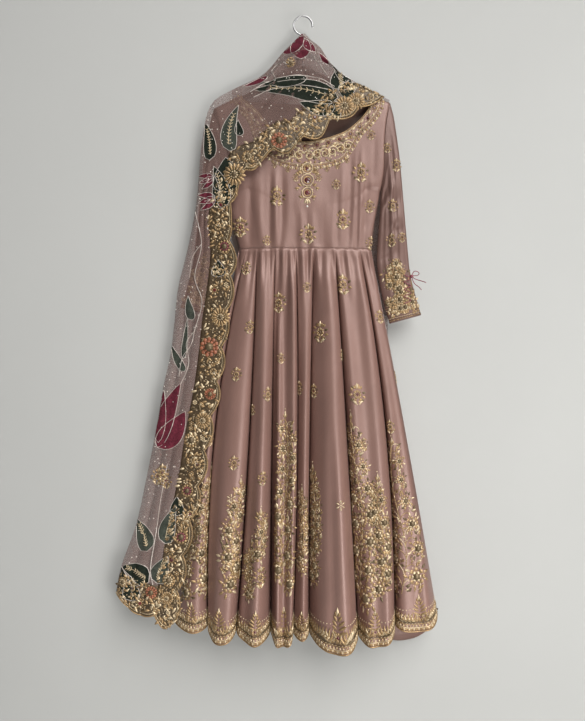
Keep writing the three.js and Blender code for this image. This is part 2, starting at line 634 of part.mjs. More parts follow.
function buildDupatta() {
  const gap = (row) => SEAM / outerLine(row).distanceTo(edgeLine(row));
  const netAcross = (n) => (row) => steps(n, 0, bandShare(row) - gap(row));
  const bandAcross = (n) => (row) => steps(n, bandShare(row) + gap(row), 1);
  const cut = 0.004; // of a row, for the gap where two stretches meet
  const perScallop = 5;
  const rowsBetween = (from, to) => {
    const [a, b] = [lengthAt(from), lengthAt(to)];
    return steps(Math.round(((b - a) / PITCH) * perScallop), a, b).map(rowAt);
  };
  const chestRows = rowsBetween(0, TURN_ROW - cut);
  const fallRows = rowsBetween(TURN_ROW + cut, END_BAND_ROW - 2 * perScallop * cut);
  const endRows = steps(3, END_BAND_ROW + cut, LAST_ROW);
  add("dupatta_cowl", dupattaWall(chestRows, netAcross(6), NET), NET_CLOTH);
  add("dupatta_chest_border", dupattaWall(chestRows, bandAcross(2), BORDER), GOLD_BORDER);
  add("dupatta_fall", dupattaWall([...fallRows, END_BAND_ROW - cut], netAcross(7), NET), NET_CLOTH);
  add("dupatta_fall_border", dupattaWall([...fallRows, ...endRows], bandAcross(3), BORDER), GOLD_BORDER);
  add("dupatta_end_border", dupattaWall(endRows, netAcross(18), BORDER), GOLD_BORDER);
  const peak = steps(18, 0.1, TURN_ROW - 1).map((row) => backOf(outerLine(row), NET));
  for (const p of peak) if (Math.abs(p.x) < 14) p.y = HOOK_WIRE / 2 + 1.2; // round the hook's stem
  add("dupatta_cowl_back", backLayer(peak, COWL_BACK_LENGTH, 4, 17, 25), NET_CLOTH);
  const shoulder = steps(6, 0.02, 1).map((t) => backOf(outerLine(0).lerp(edgeLine(0), t), BORDER));
  add("dupatta_behind", backLayer(shoulder, BEHIND_LENGTH, 12, 29, 40), NET_CLOTH);
}

// The place just behind a wall's point.
const backOf = (p, thickness) => p.clone().add(point(0, thickness + 2 * SEAM, 0));

// Net that hangs down behind from a line on the hanger: it steps back by `depth` within a few times `ease`.
function backLayer(line, length, count, depth, ease) {
  const outer = steps(count).map((t) => {
    const down = length * t ** 1.5;
    return line.map((top) => top.clone().add(point(0, depth * (1 - Math.exp(-down / ease)), -down)));
  });
  return wall(
    outer,
    outer.map((points) => points.map((p) => p.clone().add(point(0, NET, 0)))),
  );
}

// ---------------------------------------------------------------- hanger
function buildHanger() {
  const middleZ = HOOK_WIRE / 2 - HOOK_RADIUS;
  const arc = (degrees) => {
    const angle = (degrees * Math.PI) / 180;
    return point(HOOK_RADIUS * Math.cos(angle), 0, middleZ + HOOK_RADIUS * Math.sin(angle));
  };
  const bend = [-8, 20, 55, 90, 125, 160, 195, 225, 248].map(arc);
  const stemTop = middleZ - HOOK_RADIUS - 10;
  const bodyTop = NECK_Z - HANGER_DROP;
  const stem = [point(0, 0, stemTop), point(0, 0, (stemTop + bodyTop) / 2), point(0, 0, bodyTop + 2 * SEAM)];
  add("hanger_hook", rod([...bend, ...stem], HOOK_WIRE, { count: 44 }), STEEL);

  const places = [-HANGER_TIP, -190, -150, -100, -50, -20, 0, 20, 50, 100, 150, 190, HANGER_TIP];
  const rings = places.map((x) => {
    const end = 1 - 0.4 * smoothstep(Math.abs(x), HANGER_TIP - 16, HANGER_TIP);
    const top = shoulderZ(x) - HANGER_DROP;
    const half = (HANGER_THICK / 2) * end;
    const profile = [
      [0.2, 0],
      [0.6, 1.8],
      [1, 4.5],
      [1, HANGER_HIGH - 2],
      [0.5, HANGER_HIGH],
    ];
    const side = (facing) => profile.map(([wide, down]) => point(x, facing * wide * half, top - down * end));
    return [...side(-1), ...side(1).reverse()];
  });
  add("hanger_body", loft(rings), HANGER_PLASTIC);
}

// ---------------------------------------------------------------- cuff lacing
const sleeveEdge = Object.fromEntries(
  ["outerX", "innerX", "half", "middle"].map((name) => [name, curve(SLEEVE, name, "outerZ")]),
);
// Depth of the right sleeve's front at a place.
function sleeveFrontY(x, z) {
  const [outer, inner] = [sleeveEdge.outerX(z), sleeveEdge.innerX(z)];
  const off = (2 * x - outer - inner) / (outer - inner);
  return sleeveEdge.middle(z) - sleeveEdge.half(z) * Math.sqrt(Math.max(0, 1 - off * off));
}
// A place on the lace: across and down from the top of the slit, and how far it stands off the sleeve.
function onSleeve([across, down, off]) {
  const [x, z] = [CUFF_SLIT.x + across, CUFF_SLIT.top - down];
  return point(x, sleeveFrontY(x, z) - LACE / 2 - LACE_CLEAR - off, z);
}
// The bow's knot, loop and free ends, as places on the lace.
const KNOT = { across: 11, down: 17, radius: 4.2, off: 4.6 };
const BOW_LOOP = [
  [11, 15, 4.6],
  [17, 5, 3],
  [26, 6, 3],
  [29, 11, 3],
  [24, 15, 3],
  [14, 15.6, 4.6],
];
const UPPER_TAIL = [
  [14.3, 20.1, 4.6],
  [20, 23.5, 3],
  [27, 26, 3],
  [34, 28.5, 6],
  [44, 33, 12],
];
const LOWER_TAIL = [
  [12.1, 21.4, 4.6],
  [15, 29, 2],
  [20, 36, 1.6],
  [28, 42, 2],
  [35, 50, 4],
];

function buildLacing() {
  const length = CUFF_SLIT.top - CUFF_SLIT.bottom;
  const zigzag = steps(LACE_CROSSINGS, 14, length - 1).map((down, i) =>
    onSleeve([i % 2 ? LACE_REACH : -LACE_REACH, down, 0.3]),
  );
  add("cuff_lace", rod(zigzag, LACE, { sides: 6, count: 48 }), CORD);
  const middle = onSleeve([KNOT.across, KNOT.down, KNOT.off]);
  const knot = new THREE.SphereGeometry(KNOT.radius, 12, 8).scale(1, 0.7, 1).translate(...middle.toArray());
  const loop = rod(BOW_LOOP.map(onSleeve), LACE, { count: 26 });
  add("cuff_bow", shape(solid(knot).add(solid(loop))), CORD);
  add("cuff_lace_end_upper", rod(UPPER_TAIL.map(onSleeve), LACE, { count: 14 }), CORD);
  add("cuff_lace_end_lower", rod(LOWER_TAIL.map(onSleeve), LACE, { count: 14 }), CORD);
}

buildSkirt();
buildBodiceAndSleeves();
buildDupatta();
buildHanger();
buildLacing();

export default garment;
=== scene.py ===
# Looks of a floor-length flared kameez with its net dupatta, on a coat hanger.
# Tables and surfaces are in millimetres, as in the part's source, and every mesh is made in metres.
# "left" and "right" are as seen from the front, so the right side is +X, and the front faces -Y.
from math import cos, pi, radians, sin

import bmesh
import bpy
import numpy as np
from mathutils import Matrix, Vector
from mathutils.bvhtree import BVHTree


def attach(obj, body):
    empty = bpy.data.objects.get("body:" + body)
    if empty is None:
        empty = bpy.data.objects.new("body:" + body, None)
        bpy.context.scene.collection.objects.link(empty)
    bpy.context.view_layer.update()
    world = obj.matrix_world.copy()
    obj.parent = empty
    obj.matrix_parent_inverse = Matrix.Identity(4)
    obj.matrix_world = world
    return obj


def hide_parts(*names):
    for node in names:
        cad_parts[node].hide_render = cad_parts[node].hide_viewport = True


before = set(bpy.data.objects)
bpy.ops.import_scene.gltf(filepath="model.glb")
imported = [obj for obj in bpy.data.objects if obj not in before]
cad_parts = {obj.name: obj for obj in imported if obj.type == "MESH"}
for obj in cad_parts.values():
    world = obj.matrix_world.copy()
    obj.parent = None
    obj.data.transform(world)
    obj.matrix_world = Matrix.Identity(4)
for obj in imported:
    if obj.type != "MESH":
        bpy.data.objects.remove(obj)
bpy.ops.object.select_all(action="DESELECT")
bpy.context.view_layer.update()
MM = 0.001
scene = bpy.context.scene
scene.view_settings.view_transform = "Standard"

# ---------------------------------------------------------------- sizes and tables
SEAM = 0.15
WAIST_Z = -570
NECK_Z = -117
SLOPE_RIGHT = 0.441
SLOPE_LEFT = 0.493
TIP_RIGHT = 213
TIP_LEFT = -217
ARMHOLE_SHARE = 0.6045
ARMHOLE_DEPTH = 12
ARMHOLE_FULLNESS = 0.35
LEFT_SLEEVE_LENGTH = 0.94
LEFT_SLEEVE_SPLAY = 8
FOLD_GROWTH = 0.85
FOLD_ROUND = 1.6
MIDDLE = 0.476
SHOULDER_ROUND = 8
BODICE_SQUARE = 2.4
CUFF_SLIT = {"x": 253, "top": -620, "bottom": -705}
LACE = 2
LACE_CLEAR = 0.6
HOOK_WIRE = 4.4
HOOK_RADIUS = 23


def table(columns, *rows):
    """Rows of numbers as dictionaries with those column names."""
    return [dict(zip(columns.split(), row)) for row in rows]


FRONT_SEAMS = table(
    "waist middle hem waist_y hem_y hem_z",
    (-157, -238, -318, 0, 0, -1462),
    (-139, -213, -228, -8, -34, -1472),
    (-112, -128, -160, -16, -44, -1480),
    (-68, -75, -79, -21, -48, -1482),
    (-17, -13, -25, -23, -46, -1482),
    (26, 16, 13, -23, -50, -1484),
    (77, 105, 130, -21, -50, -1488),
    (138, 200, 220, -12, -34, -1474),
    (167, 247, 328, 0, 0, -1460),
)
FRONT_KALIS = table(
    "waist_y hem_y lean drop",
    (-8, -50, 4, 20),
    (-16, -84, -6, 28),
    (-22, -92, 6, 20),
    (-26, -100, 5, 27),
    (-27, -66, 0, 16),
    (-27, -112, 8, 28),
    (-22, -98, -8, 26),
    (-10, -56, 6, 18),
)
BACK_SEAMS = table(
    "waist middle hem waist_y hem_y hem_z",
    (-157, -238, -318, 0, 0, -1462),
    (-105, -160, -212, 11, 5, -1480),
    (-52, -78, -110, 13, 4, -1488),
    (4, 4, -8, 14, 5, -1490),
    (60, 86, 98, 13, 4, -1492),
    (112, 168, 205, 11, 5, -1512),
    (167, 247, 328, 0, 0, -1460),
)
BACK_KALIS = table(
    "waist_y hem_y lean drop",
    (11, 28, 0, 26),
    (15, 29, 6, 24),
    (16, 29, -4, 22),
    (16, 29, 5, 24),
    (15, 29, -6, 24),
    (11, 28, 0, 50),
)
# Sharper creases of the skirt's front. A place is a kali's number and the share of the way across it, at the
# waist and at the hem. Then come half widths and heights in mm there, forward or back, and the shares of the
# way down at which it starts and ends.
SKIRT_CREASES = table(
    "waist hem half_waist half_hem high_waist high_hem start end",
    (0.5, 0.55, 0.20, 0.16, 1.5, 5, 0.05, 1.2),
    (1.30, 1.28, 0.20, 0.14, -2, -9, 0.1, 1.2),
    (1.72, 1.74, 0.20, 0.14, 2, 7, 0.0, 1.2),
    (2.35, 2.30, 0.16, 0.10, -1, -4, 0.3, 1.2),
    (2.50, 2.50, 0.20, 0.14, 2, 5, 0.0, 1.2),
    (2.85, 2.78, 0.14, 0.12, -1, -5, 0.1, 1.2),
    (3.20, 3.16, 0.14, 0.12, -6, -14, 0.0, 1.2),
    (3.45, 3.50, 0.14, 0.11, -7, -15, 0.0, 1.2),
    (3.30, 3.32, 0.07, 0.06, 2, 6, 0.1, 1.2),
    (3.74, 3.78, 0.12, 0.10, 4, 9, 0.0, 1.2),
    (4.20, 4.20, 0.18, 0.14, -1, -3, 0.2, 1.2),
    (4.55, 4.60, 0.20, 0.16, 2, 6, 0.0, 1.2),
    (5.16, 5.14, 0.14, 0.10, -3, -11, 0.0, 1.2),
    (5.32, 5.30, 0.12, 0.08, -2, -6, 0.1, 1.0),
    (5.62, 5.64, 0.16, 0.12, 3, 8, 0.0, 1.2),
    (5.55, 5.44, 0.10, 0.05, 0, -4.5, 0.42, 1.1),
    (5.75, 5.80, 0.08, 0.05, 0, -4, 0.55, 1.1),
    (6.28, 6.27, 0.14, 0.08, 3, 4, 0.0, 0.7),
    (6.50, 6.52, 0.16, 0.11, -3, -7, 0.05, 1.2),
    (6.74, 6.72, 0.16, 0.11, 3, 9, 0.0, 1.2),
    (6.30, 6.22, 0.20, 0.14, 0, -12, 0.55, 1.2),
    (7.25, 7.22, 0.22, 0.12, 2, 6, 0.0, 1.2),
    (7.55, 7.50, 0.12, 0.09, -1, -4, 0.2, 1.2),
    (7.70, 7.68, 0.20, 0.14, 1, 4, 0.2, 1.2),
)
# Short gathers under the waist seam: place at the waist, half width, height forward, and share of the skirt
# at which each has died out.
GATHERS = table(
    "x half high end",
    (-134, 5, -3.5, 0.10),
    (-121, 6, -5.0, 0.18),
    (-109, 4, -3.5, 0.12),
    (-101, 6, 3.0, 0.16),
    (-92, 4, -3.0, 0.10),
    (-80, 4, -4.0, 0.20),
    (-70, 4, -3.0, 0.10),
    (-58, 5, -5.0, 0.22),
    (-48, 5, 3.0, 0.14),
    (-39, 5, -5.0, 0.20),
    (-30, 4, 2.5, 0.12),
    (-24, 3, -2.5, 0.09),
    (-12, 4, -4.0, 0.14),
    (0, 5, 3.0, 0.16),
    (12, 4, -4.0, 0.15),
    (19, 4, 2.5, 0.12),
    (27, 4, -4.5, 0.18),
    (36, 4, 2.0, 0.10),
    (44, 4, -2.5, 0.10),
    (56, 6, 2.5, 0.18),
    (70, 4, -3.5, 0.12),
    (83, 5, 2.5, 0.16),
    (96, 5, -4.5, 0.20),
    (106, 4, 2.5, 0.12),
    (115, 4, -2.5, 0.12),
    (128, 5, 3.0, 0.18),
    (139, 4, -4.0, 0.16),
    (151, 5, -4.0, 0.22),
    (158, 4, 2.0, 0.10),
)
GAP_DEPTH = 30  # how much deeper the hollows between two kalis are at the hem than the plain fold
GAP_HALF = 0.08
QUIET_EDGE = 0.35  # share of a kali next to the side seams over which folds and creases fade out
CREASE_STRENGTH = 1.5  # the skirt's creases are this many times as high as their rows say
ROUNDER = 0.42  # how far the folds go from their plain form to a rounder one with steep sides
NECK_COLUMNS = "x z"
FRONT_NECK = table(
    NECK_COLUMNS,
    *[(x, None) for x in (-217, -184, -150)],
    *[(-147, -204), (-120, -224), (-94, -254), (-70, -281), (-36, -301), (5, -309)],
    *[(46, -303), (80, -293), (109, -279), (140, -252), (161, -224), (166, -206)],
    *[(x, None) for x in (168, 190, 213)],
)
BACK_NECK = table(
    NECK_COLUMNS,
    *[(x, None) for x in (-217, -184, -150)],
    *[(-147, -198), (-128, -204), (-95, -207), (-45, -210), (5, -211)],
    *[(55, -210), (105, -207), (146, -204), (165, -200)],
    *[(x, None) for x in (168, 190, 213)],
)
SIDES = table(
    "down left right",
    (0, -217, 213),
    (0.12, -207, 203),
    (0.26, -202, 198),
    (0.45, -201, 197),
    (0.6045, -192, 190),
    (0.8, -176, 177),
    (1, -157, 167),
)
BODICE_DEPTH = table("z front back", (-180, 9, 9), (-300, 14, 11), (-430, 20, 14), (-570, 24, 15))
BODICE_FOLDS = table(
    "at half high",
    (0.2, 0.035, 4),
    (0.33, 0.04, 5),
    (0.47, 0.03, 3),
    (0.58, 0.04, 5),
    (0.71, 0.035, 5),
    (0.84, 0.03, 4),
)
# Sharper creases of the bodice's front, from a point to a point, with half width and height.
BODICE_CREASES = table(
    "x z to_x to_z half high",
    (-126, -380, -130, -568, 8, -4.5),
    (-102, -390, -106, -568, 8, 2.5),
    (-78, -380, -82, -568, 5, -3.5),
    (-64, -380, -68, -568, 6, 3.0),
    (-51, -372, -54, -568, 6, -4.5),
    (-34, -400, -36, -568, 7, 2.2),
    (-15, -470, -14, -568, 5, -2.6),
    (-2, -480, 0, -568, 5, 2.0),
    (9, -480, 10, -568, 4, -2.4),
    (31, -460, 34, -568, 6, -3.0),
    (56, -440, 58, -568, 9, 2.2),
    (84, -420, 80, -568, 6, -2.4),
    (98, -350, 92, -568, 7, 2.2),
    (117, -320, 112, -568, 8, -5.0),
    (134, -330, 128, -568, 5, -3.0),
    (143, -330, 138, -568, 5, 2.6),
    (158, -380, 148, -568, 6, -3.2),
    (182, -395, 132, -470, 8, 2.2),
    (185, -425, 150, -520, 7, -3.2),
    (180, -470, 160, -560, 6, 2.4),
    (-184, -430, -140, -560, 8, 2.0),
    (176, -290, 170, -400, 6, -2.4),
)
SLEEVE = table(
    "outer_x outer_z inner_x inner_z half middle",
    (222, -245, 189.5, -436, 12, -1),
    (229, -290, 189, -447, 12, -2),
    (236, -345, 188.5, -462, 12, -4),
    (241, -402, 187.5, -482, 12, -6),
    (246, -462, 185, -510, 11, -7),
    (251, -523, 182, -548, 11, -8),
    (256, -580, 180, -590, 11, -8),
    (260, -620, 183, -630, 11, -8),
    (268, -660, 190, -671, 11, -8),
    (278, -696, 199, -712, 12, -8),
    (288, -731, 211, -752, 13, -8),
)
# Creases across a sleeve: the rings that they run between, their places round its front at the two ends,
# half width in rings, and height.
SLEEVE_CREASES = table(
    "ring to_ring start end half high",
    (1.6, 2.4, 0.55, 1.0, 0.35, 2.2),
    (2.6, 3.2, 0.45, 1.0, 0.3, -2.0),
    (3.6, 3.9, 0.25, 0.95, 0.3, 3.6),
    (4.6, 4.3, 0.0, 0.8, 0.28, -4.4),
    (5.3, 5.8, 0.2, 1.0, 0.26, 3.8),
    (6.0, 5.6, 0.0, 0.8, 0.26, -4.0),
    (6.8, 7.2, 0.3, 1.0, 0.3, -3.4),
    (8.2, 7.9, 0.0, 0.7, 0.35, 1.5),
)
# Folds along a sleeve: places across its front at the top and the cuff, half width, height, start and end.
SLEEVE_FOLDS = table(
    "top bottom half high start end",
    (0.30, 0.40, 0.07, -4.5, 0.0, 0.8),
    (0.46, 0.52, 0.06, 3.0, 0.05, 0.75),
    (0.60, 0.66, 0.06, -4.0, 0.1, 0.95),
    (0.78, 0.84, 0.06, -3.5, 0.1, 0.9),
    (0.16, 0.18, 0.05, -3.0, 0.2, 1.0),
)
DUPATTA = table(
    "outer_x outer_z outer_y edge_x edge_z edge_y band",
    (103, -149, -1, 212, -203, -2.5, 80),
    (92, -141, -1, 198, -206, -12, 80),
    (78, -130, -1, 168, -222, -17, 80),
    (59, -101, -1, 125, -251, -22, 80),
    (42, -75, -1.5, 72, -270, -27, 80),
    (20, -58, -3, 40, -307, -31, 80),
    (0, -42, -4.5, -10, -322, -33, 80),
    (-24, -63, -3, -39, -347, -36, 80),
    (-49, -87, -1.5, -84, -352, -36, 80),
    (-100, -143, -1, -120, -390, -36, 80),
    (-174, -180, -3, -144, -404, -34, 80),
    (-226, -220, -7, -154, -423, -34, 80),
    (-247, -314, -9, -161, -456, -32, 76),
    (-259, -451, -10, -171, -518, -30, 72),
    (-279, -561, -10, -159, -604, -29, 70),
    (-304, -664, -10, -167, -696, -30, 70),
    (-314, -755, -10, -176, -756, -32, 70),
    (-323, -828, -10, -183, -816, -34, 70),
    (-340, -906, -12, -194, -907, -38, 70),
    (-357, -1009, -14, -213, -1007, -43, 70),
    (-380, -1128, -18, -231, -1121, -50, 70),
    (-404, -1239, -22, -256, -1231, -57, 68),
    (-437, -1333, -26, -277, -1351, -63, 64),
    (-450, -1399, -30, -297, -1468, -66, 62),
)
LAST_ROW = len(DUPATTA) - 1
TURN_ROW = 11
END_BAND_ROW = 22.3
SCALLOPS = 18
SCALLOP_DEPTH = 15
END_SCALLOPS = 1
END_SCALLOP_DEPTH = 20
FORWARD_EASE = 1.6
COWL_SWELL = 7
FALL_RIPPLE = 4
# Folds across the net over the hanger: share of the way in from its outer edge at the left and the right,
# half width, height, and the rows that they start and end at.
COWL_FOLDS = table(
    "left right half high first last",
    (0.16, 0.30, 0.045, 6, 0.6, 10.6),
    (0.24, 0.40, 0.035, -4, 0.6, 9.5),
    (0.34, 0.50, 0.05, 5, 1.5, 10.6),
    (0.52, 0.62, 0.04, -4, 3.0, 9.8),
    (0.70, 0.74, 0.06, 3, 4.5, 10.0),
    (0.08, 0.16, 0.03, -3, 2.0, 8.5),
)


# ---------------------------------------------------------------- small tools
def lerp(a, b, t):
    return a + (b - a) * t


def smooth(v, low, high):
    t = np.clip((v - low) / (high - low), 0, 1)
    return t * t * (3 - 2 * t)


def between(v, start, end, ease):
    """1 between start and end, easing off to 0 at both."""
    return smooth(v, start, start + ease) * smooth(-v, -end, ease - end)


def bell(v):
    return np.exp(-(v**2))


def curve(at, values):
    """A smooth function through values at those places. Values may be points."""
    at = np.asarray(at, float)
    values = np.asarray(values, float)
    order = np.argsort(at)
    at, values = at[order], values[order]
    before = np.maximum(np.arange(len(at)) - 1, 0)
    after = np.minimum(np.arange(len(at)) + 1, len(at) - 1)
    wide = (at[after] - at[before]).reshape((-1,) + (1,) * (values.ndim - 1))
    slope = (values[after] - values[before]) / wide

    def value_at(place):
        p = np.clip(np.asarray(place, float), at[0], at[-1])
        k = np.clip(np.searchsorted(at, p, side="right") - 1, 0, len(at) - 2)
        span = at[k + 1] - at[k]
        t = (p - at[k]) / span
        shape = t.shape + (1,) * (values.ndim - 1)
        t, span = t.reshape(shape), span.reshape(shape)
        return (
            (1 + 2 * t) * (1 - t) ** 2 * values[k]
            + t * (1 - t) ** 2 * span * slope[k]
            + t * t * (3 - 2 * t) * values[k + 1]
            + t * t * (t - 1) * span * slope[k + 1]
        )

    return value_at


def column(rows, name):
    return [row[name] for row in rows]


def points(x, y, z):
    return np.stack(np.broadcast_arrays(np.asarray(x, float), y, z), -1)


def lengths_along(grid, axis=0):
    """Length run at each point of a line or a grid of points, along one of its axes."""
    steps = np.linalg.norm(np.diff(grid, axis=axis), axis=-1)
    start = np.zeros_like(np.take(steps, [0], axis))
    return np.concatenate([start, np.cumsum(steps, axis)], axis)


def crumple(x, z, seed, size):
    """A gentle uneven ripple over cloth, a sum of a few long waves."""
    rng = np.random.default_rng(seed)
    total = 0
    for _ in range(7):
        wave_x, wave_z = rng.uniform(0.03, 0.11), rng.uniform(-0.018, 0.018)
        total = total + np.sin(wave_x * x + wave_z * z + rng.uniform(0, 2 * pi)) / 7
    return size * total


# ---------------------------------------------------------------- skirt surfaces
def seam_x(seam, s):
    bow = seam["middle"] - lerp(seam["waist"], seam["hem"], MIDDLE)
    return lerp(seam["waist"], seam["hem"], s) + bow * s * (1 - s) / (MIDDLE * (1 - MIDDLE))


def kali_point(seams, kalis, k, t, s):
    """A point of a kali, t across it and s down it."""
    a, b, kali = seams[k], seams[k + 1], kalis[k]
    grown = s**FOLD_GROWTH
    turn = pi * t
    arch = np.sin(turn).clip(0, 1) ** FOLD_ROUND
    ya = lerp(a["waist_y"], a["hem_y"], grown)
    yb = lerp(b["waist_y"], b["hem_y"], grown)
    crest = lerp(kali["waist_y"], kali["hem_y"], grown)
    hem = lerp(a["hem_z"], b["hem_z"], t) - kali["drop"] * np.sin(turn)
    return points(
        lerp(seam_x(a, s), seam_x(b, s), (1 - np.cos(turn)) / 2) + kali["lean"] * s * np.sin(turn) ** 2,
        lerp(ya, yb, t) + (crest - (ya + yb) / 2) * arch,
        lerp(WAIST_Z - SEAM, hem, s),
    )


def skirt_grid(seams, kalis, rows, columns, facing, top):
    """The whole front or back of the skirt, with its creases. Its top lies close under the bodice's edge."""
    s = np.linspace(0, 1, rows)[:, None]
    parts, places = [], []
    for k in range(len(kalis)):
        t = np.linspace(0, 1, columns + 1)
        t = t if k == len(kalis) - 1 else t[:-1]
        parts.append(kali_point(seams, kalis, k, t[None, :], s))
        places.append(k + t)
    grid = np.concatenate(parts, 1)
    q = np.concatenate(places)[None, :]
    quiet = np.minimum(smooth(q, 0, QUIET_EDGE), smooth(len(kalis) - q, 0, QUIET_EDGE))
    turn = np.sin(pi * (q % 1)).clip(0, 1)
    grown = s**FOLD_GROWTH
    crest = np.array([lerp(kali["waist_y"], kali["hem_y"], grown[:, 0]) for kali in kalis]).T
    valley = np.array([lerp(seam["waist_y"], seam["hem_y"], grown[:, 0]) for seam in seams]).T
    k = np.minimum(q[0].astype(int), len(kalis) - 1)
    swing = crest[:, k] - (valley[:, k] + valley[:, k + 1]) / 2
    grid[..., 1] += ROUNDER * swing * (turn - turn**FOLD_ROUND)
    gap = np.abs(q - np.round(q)) / GAP_HALF
    grid[..., 1] -= facing * GAP_DEPTH * lerp(0.25, 1, grown) * bell(gap) * quiet
    if facing < 0:
        for crease in SKIRT_CREASES:
            middle = lerp(crease["waist"], crease["hem"], s)
            half = lerp(crease["half_waist"], crease["half_hem"], s)
            high = CREASE_STRENGTH * lerp(crease["high_waist"], crease["high_hem"], s)
            start, end = crease["start"], crease["end"]
            window = smooth(s, start - 0.02, start + 0.16) * smooth(-s, -end, 0.2 - end)
            grid[..., 1] -= high * bell((q - middle) / half) * window * quiet
    tucked = np.interp(grid[..., 0], top[:, 0], top[:, 1]) - facing * 0.2
    grid[..., 1] = lerp(tucked, grid[..., 1], smooth(s, 0, 0.09))
    grid[0, :, 2] += 3 * SEAM
    if facing < 0:
        columns_x = grid[..., 0]
        for gather in GATHERS:
            at = np.interp(gather["x"], columns_x[1], np.arange(columns_x.shape[1]))
            low = int(at)
            middle = lerp(columns_x[:, low], columns_x[:, low + 1], at - low)[:, None]
            half = gather["half"] * (1 + 3 * s)
            fade = smooth(-s, -gather["end"] * 1.3, -gather["end"] * 0.2)
            grid[..., 1] -= gather["high"] * bell((columns_x - middle) / half) * fade * smooth(s, 0, 0.02)
    seed = 4 if facing < 0 else 9
    grid[..., 1] += crumple(grid[..., 0], grid[..., 2], seed, 2.2) * quiet * smooth(s, 0, 0.12)
    grid[..., 1] += crumple(1.9 * grid[..., 0], 0.7 * grid[..., 2], 6, 2.0) * quiet * smooth(s, 0.45, 0.95)
    grid[..., 1] = facing * np.maximum(facing * grid[..., 1], SEAM)
    return grid, q[0]


# ---------------------------------------------------------------- bodice surfaces
def shoulder_z(x):
    return NECK_Z - np.where(x > 0, SLOPE_RIGHT * x, -SLOPE_LEFT * x)


side_x = {side: curve(column(SIDES, "down"), column(SIDES, side)) for side in ("left", "right")}
bodice_depth = {
    side: curve(column(BODICE_DEPTH, "z"), column(BODICE_DEPTH, side)) for side in ("front", "back")
}
TIP_Z = {"left": float(shoulder_z(np.array(TIP_LEFT))), "right": float(shoulder_z(np.array(TIP_RIGHT)))}


def side_opening(down):
    q = np.clip(down / ARMHOLE_SHARE, 0, 1)
    return ARMHOLE_DEPTH * (4 * q * (1 - q)) ** ARMHOLE_FULLNESS


def neck_line(neck, per_segment):
    """Points along the top edge of the bodice, straight on the shoulders and smooth round the neck."""
    on_seam = np.array([row["z"] is None for row in neck])
    x = np.array(column(neck, "x"), float)
    z = np.where(on_seam, shoulder_z(x), [row["z"] or 0 for row in neck])
    first, last = np.flatnonzero(~on_seam)[[0, -1]]
    places = np.linspace(0, len(neck) - 1, (len(neck) - 1) * per_segment + 1)
    round_x = curve(np.arange(first, last + 1), x[first : last + 1])
    round_z = curve(np.arange(first, last + 1), z[first : last + 1])
    in_neck = (places >= first) & (places <= last)
    line_x = np.where(in_neck, round_x(places), np.interp(places, np.arange(len(neck)), x))
    line_z = np.where(in_neck, round_z(places), np.interp(places, np.arange(len(neck)), z))
    seam = (places <= first - 1) | (places >= last + 1)
    return line_x, line_z, seam


def bodice_grid(side, neck, per_segment, rows):
    top_x, top_z, seam = neck_line(neck, per_segment)
    share = ((top_x - TIP_LEFT) / (TIP_RIGHT - TIP_LEFT))[None, :]
    down = (np.linspace(0, 1, rows) ** 1.15)[:, None]
    z = lerp(top_z[None, :], WAIST_Z + SEAM, down)
    x = lerp(side_x["left"](down), side_x["right"](down), share)
    oval = np.maximum(0, 1 - np.abs(2 * share - 1) ** BODICE_SQUARE) ** (1 / BODICE_SQUARE)
    edge = side_opening(down)
    depth = edge + np.maximum(0, bodice_depth[side](z) - edge) * oval
    if side == "front":
        for fold in BODICE_FOLDS:
            fall = smooth(down, 0.15, 1) * bell((share - fold["at"]) / fold["half"])
            depth = depth + fold["high"] * fall * oval
        for crease in BODICE_CREASES:
            depth = depth + crease_height(crease, x, z) * oval
    depth = depth + crumple(x, z, 2 if side == "front" else 3, 1.0) * oval * smooth(down, 0, 0.1)
    below = np.clip((top_z[None, :] - z) / SHOULDER_ROUND, 0, 1)
    depth = np.where(seam[None, :], depth * np.sqrt(1 - (1 - below) ** 2), depth)
    facing = -1 if side == "front" else 1
    return points(x, facing * np.maximum(depth, SEAM), z)


def crease_height(crease, x, z):
    """Height of a soft crease that runs from a point to a point and dies out at its ends."""
    ax, az = crease["x"], crease["z"]
    dx, dz = crease["to_x"] - ax, crease["to_z"] - az
    length = np.hypot(dx, dz)
    along = ((x - ax) * dx + (z - az) * dz) / length**2
    off = ((x - ax) * dz - (z - az) * dx) / length
    ends = smooth(along, -0.12, 0.3) * smooth(1.15 - along, 0, 0.3)
    return crease["high"] * bell(off / crease["half"]) * ends


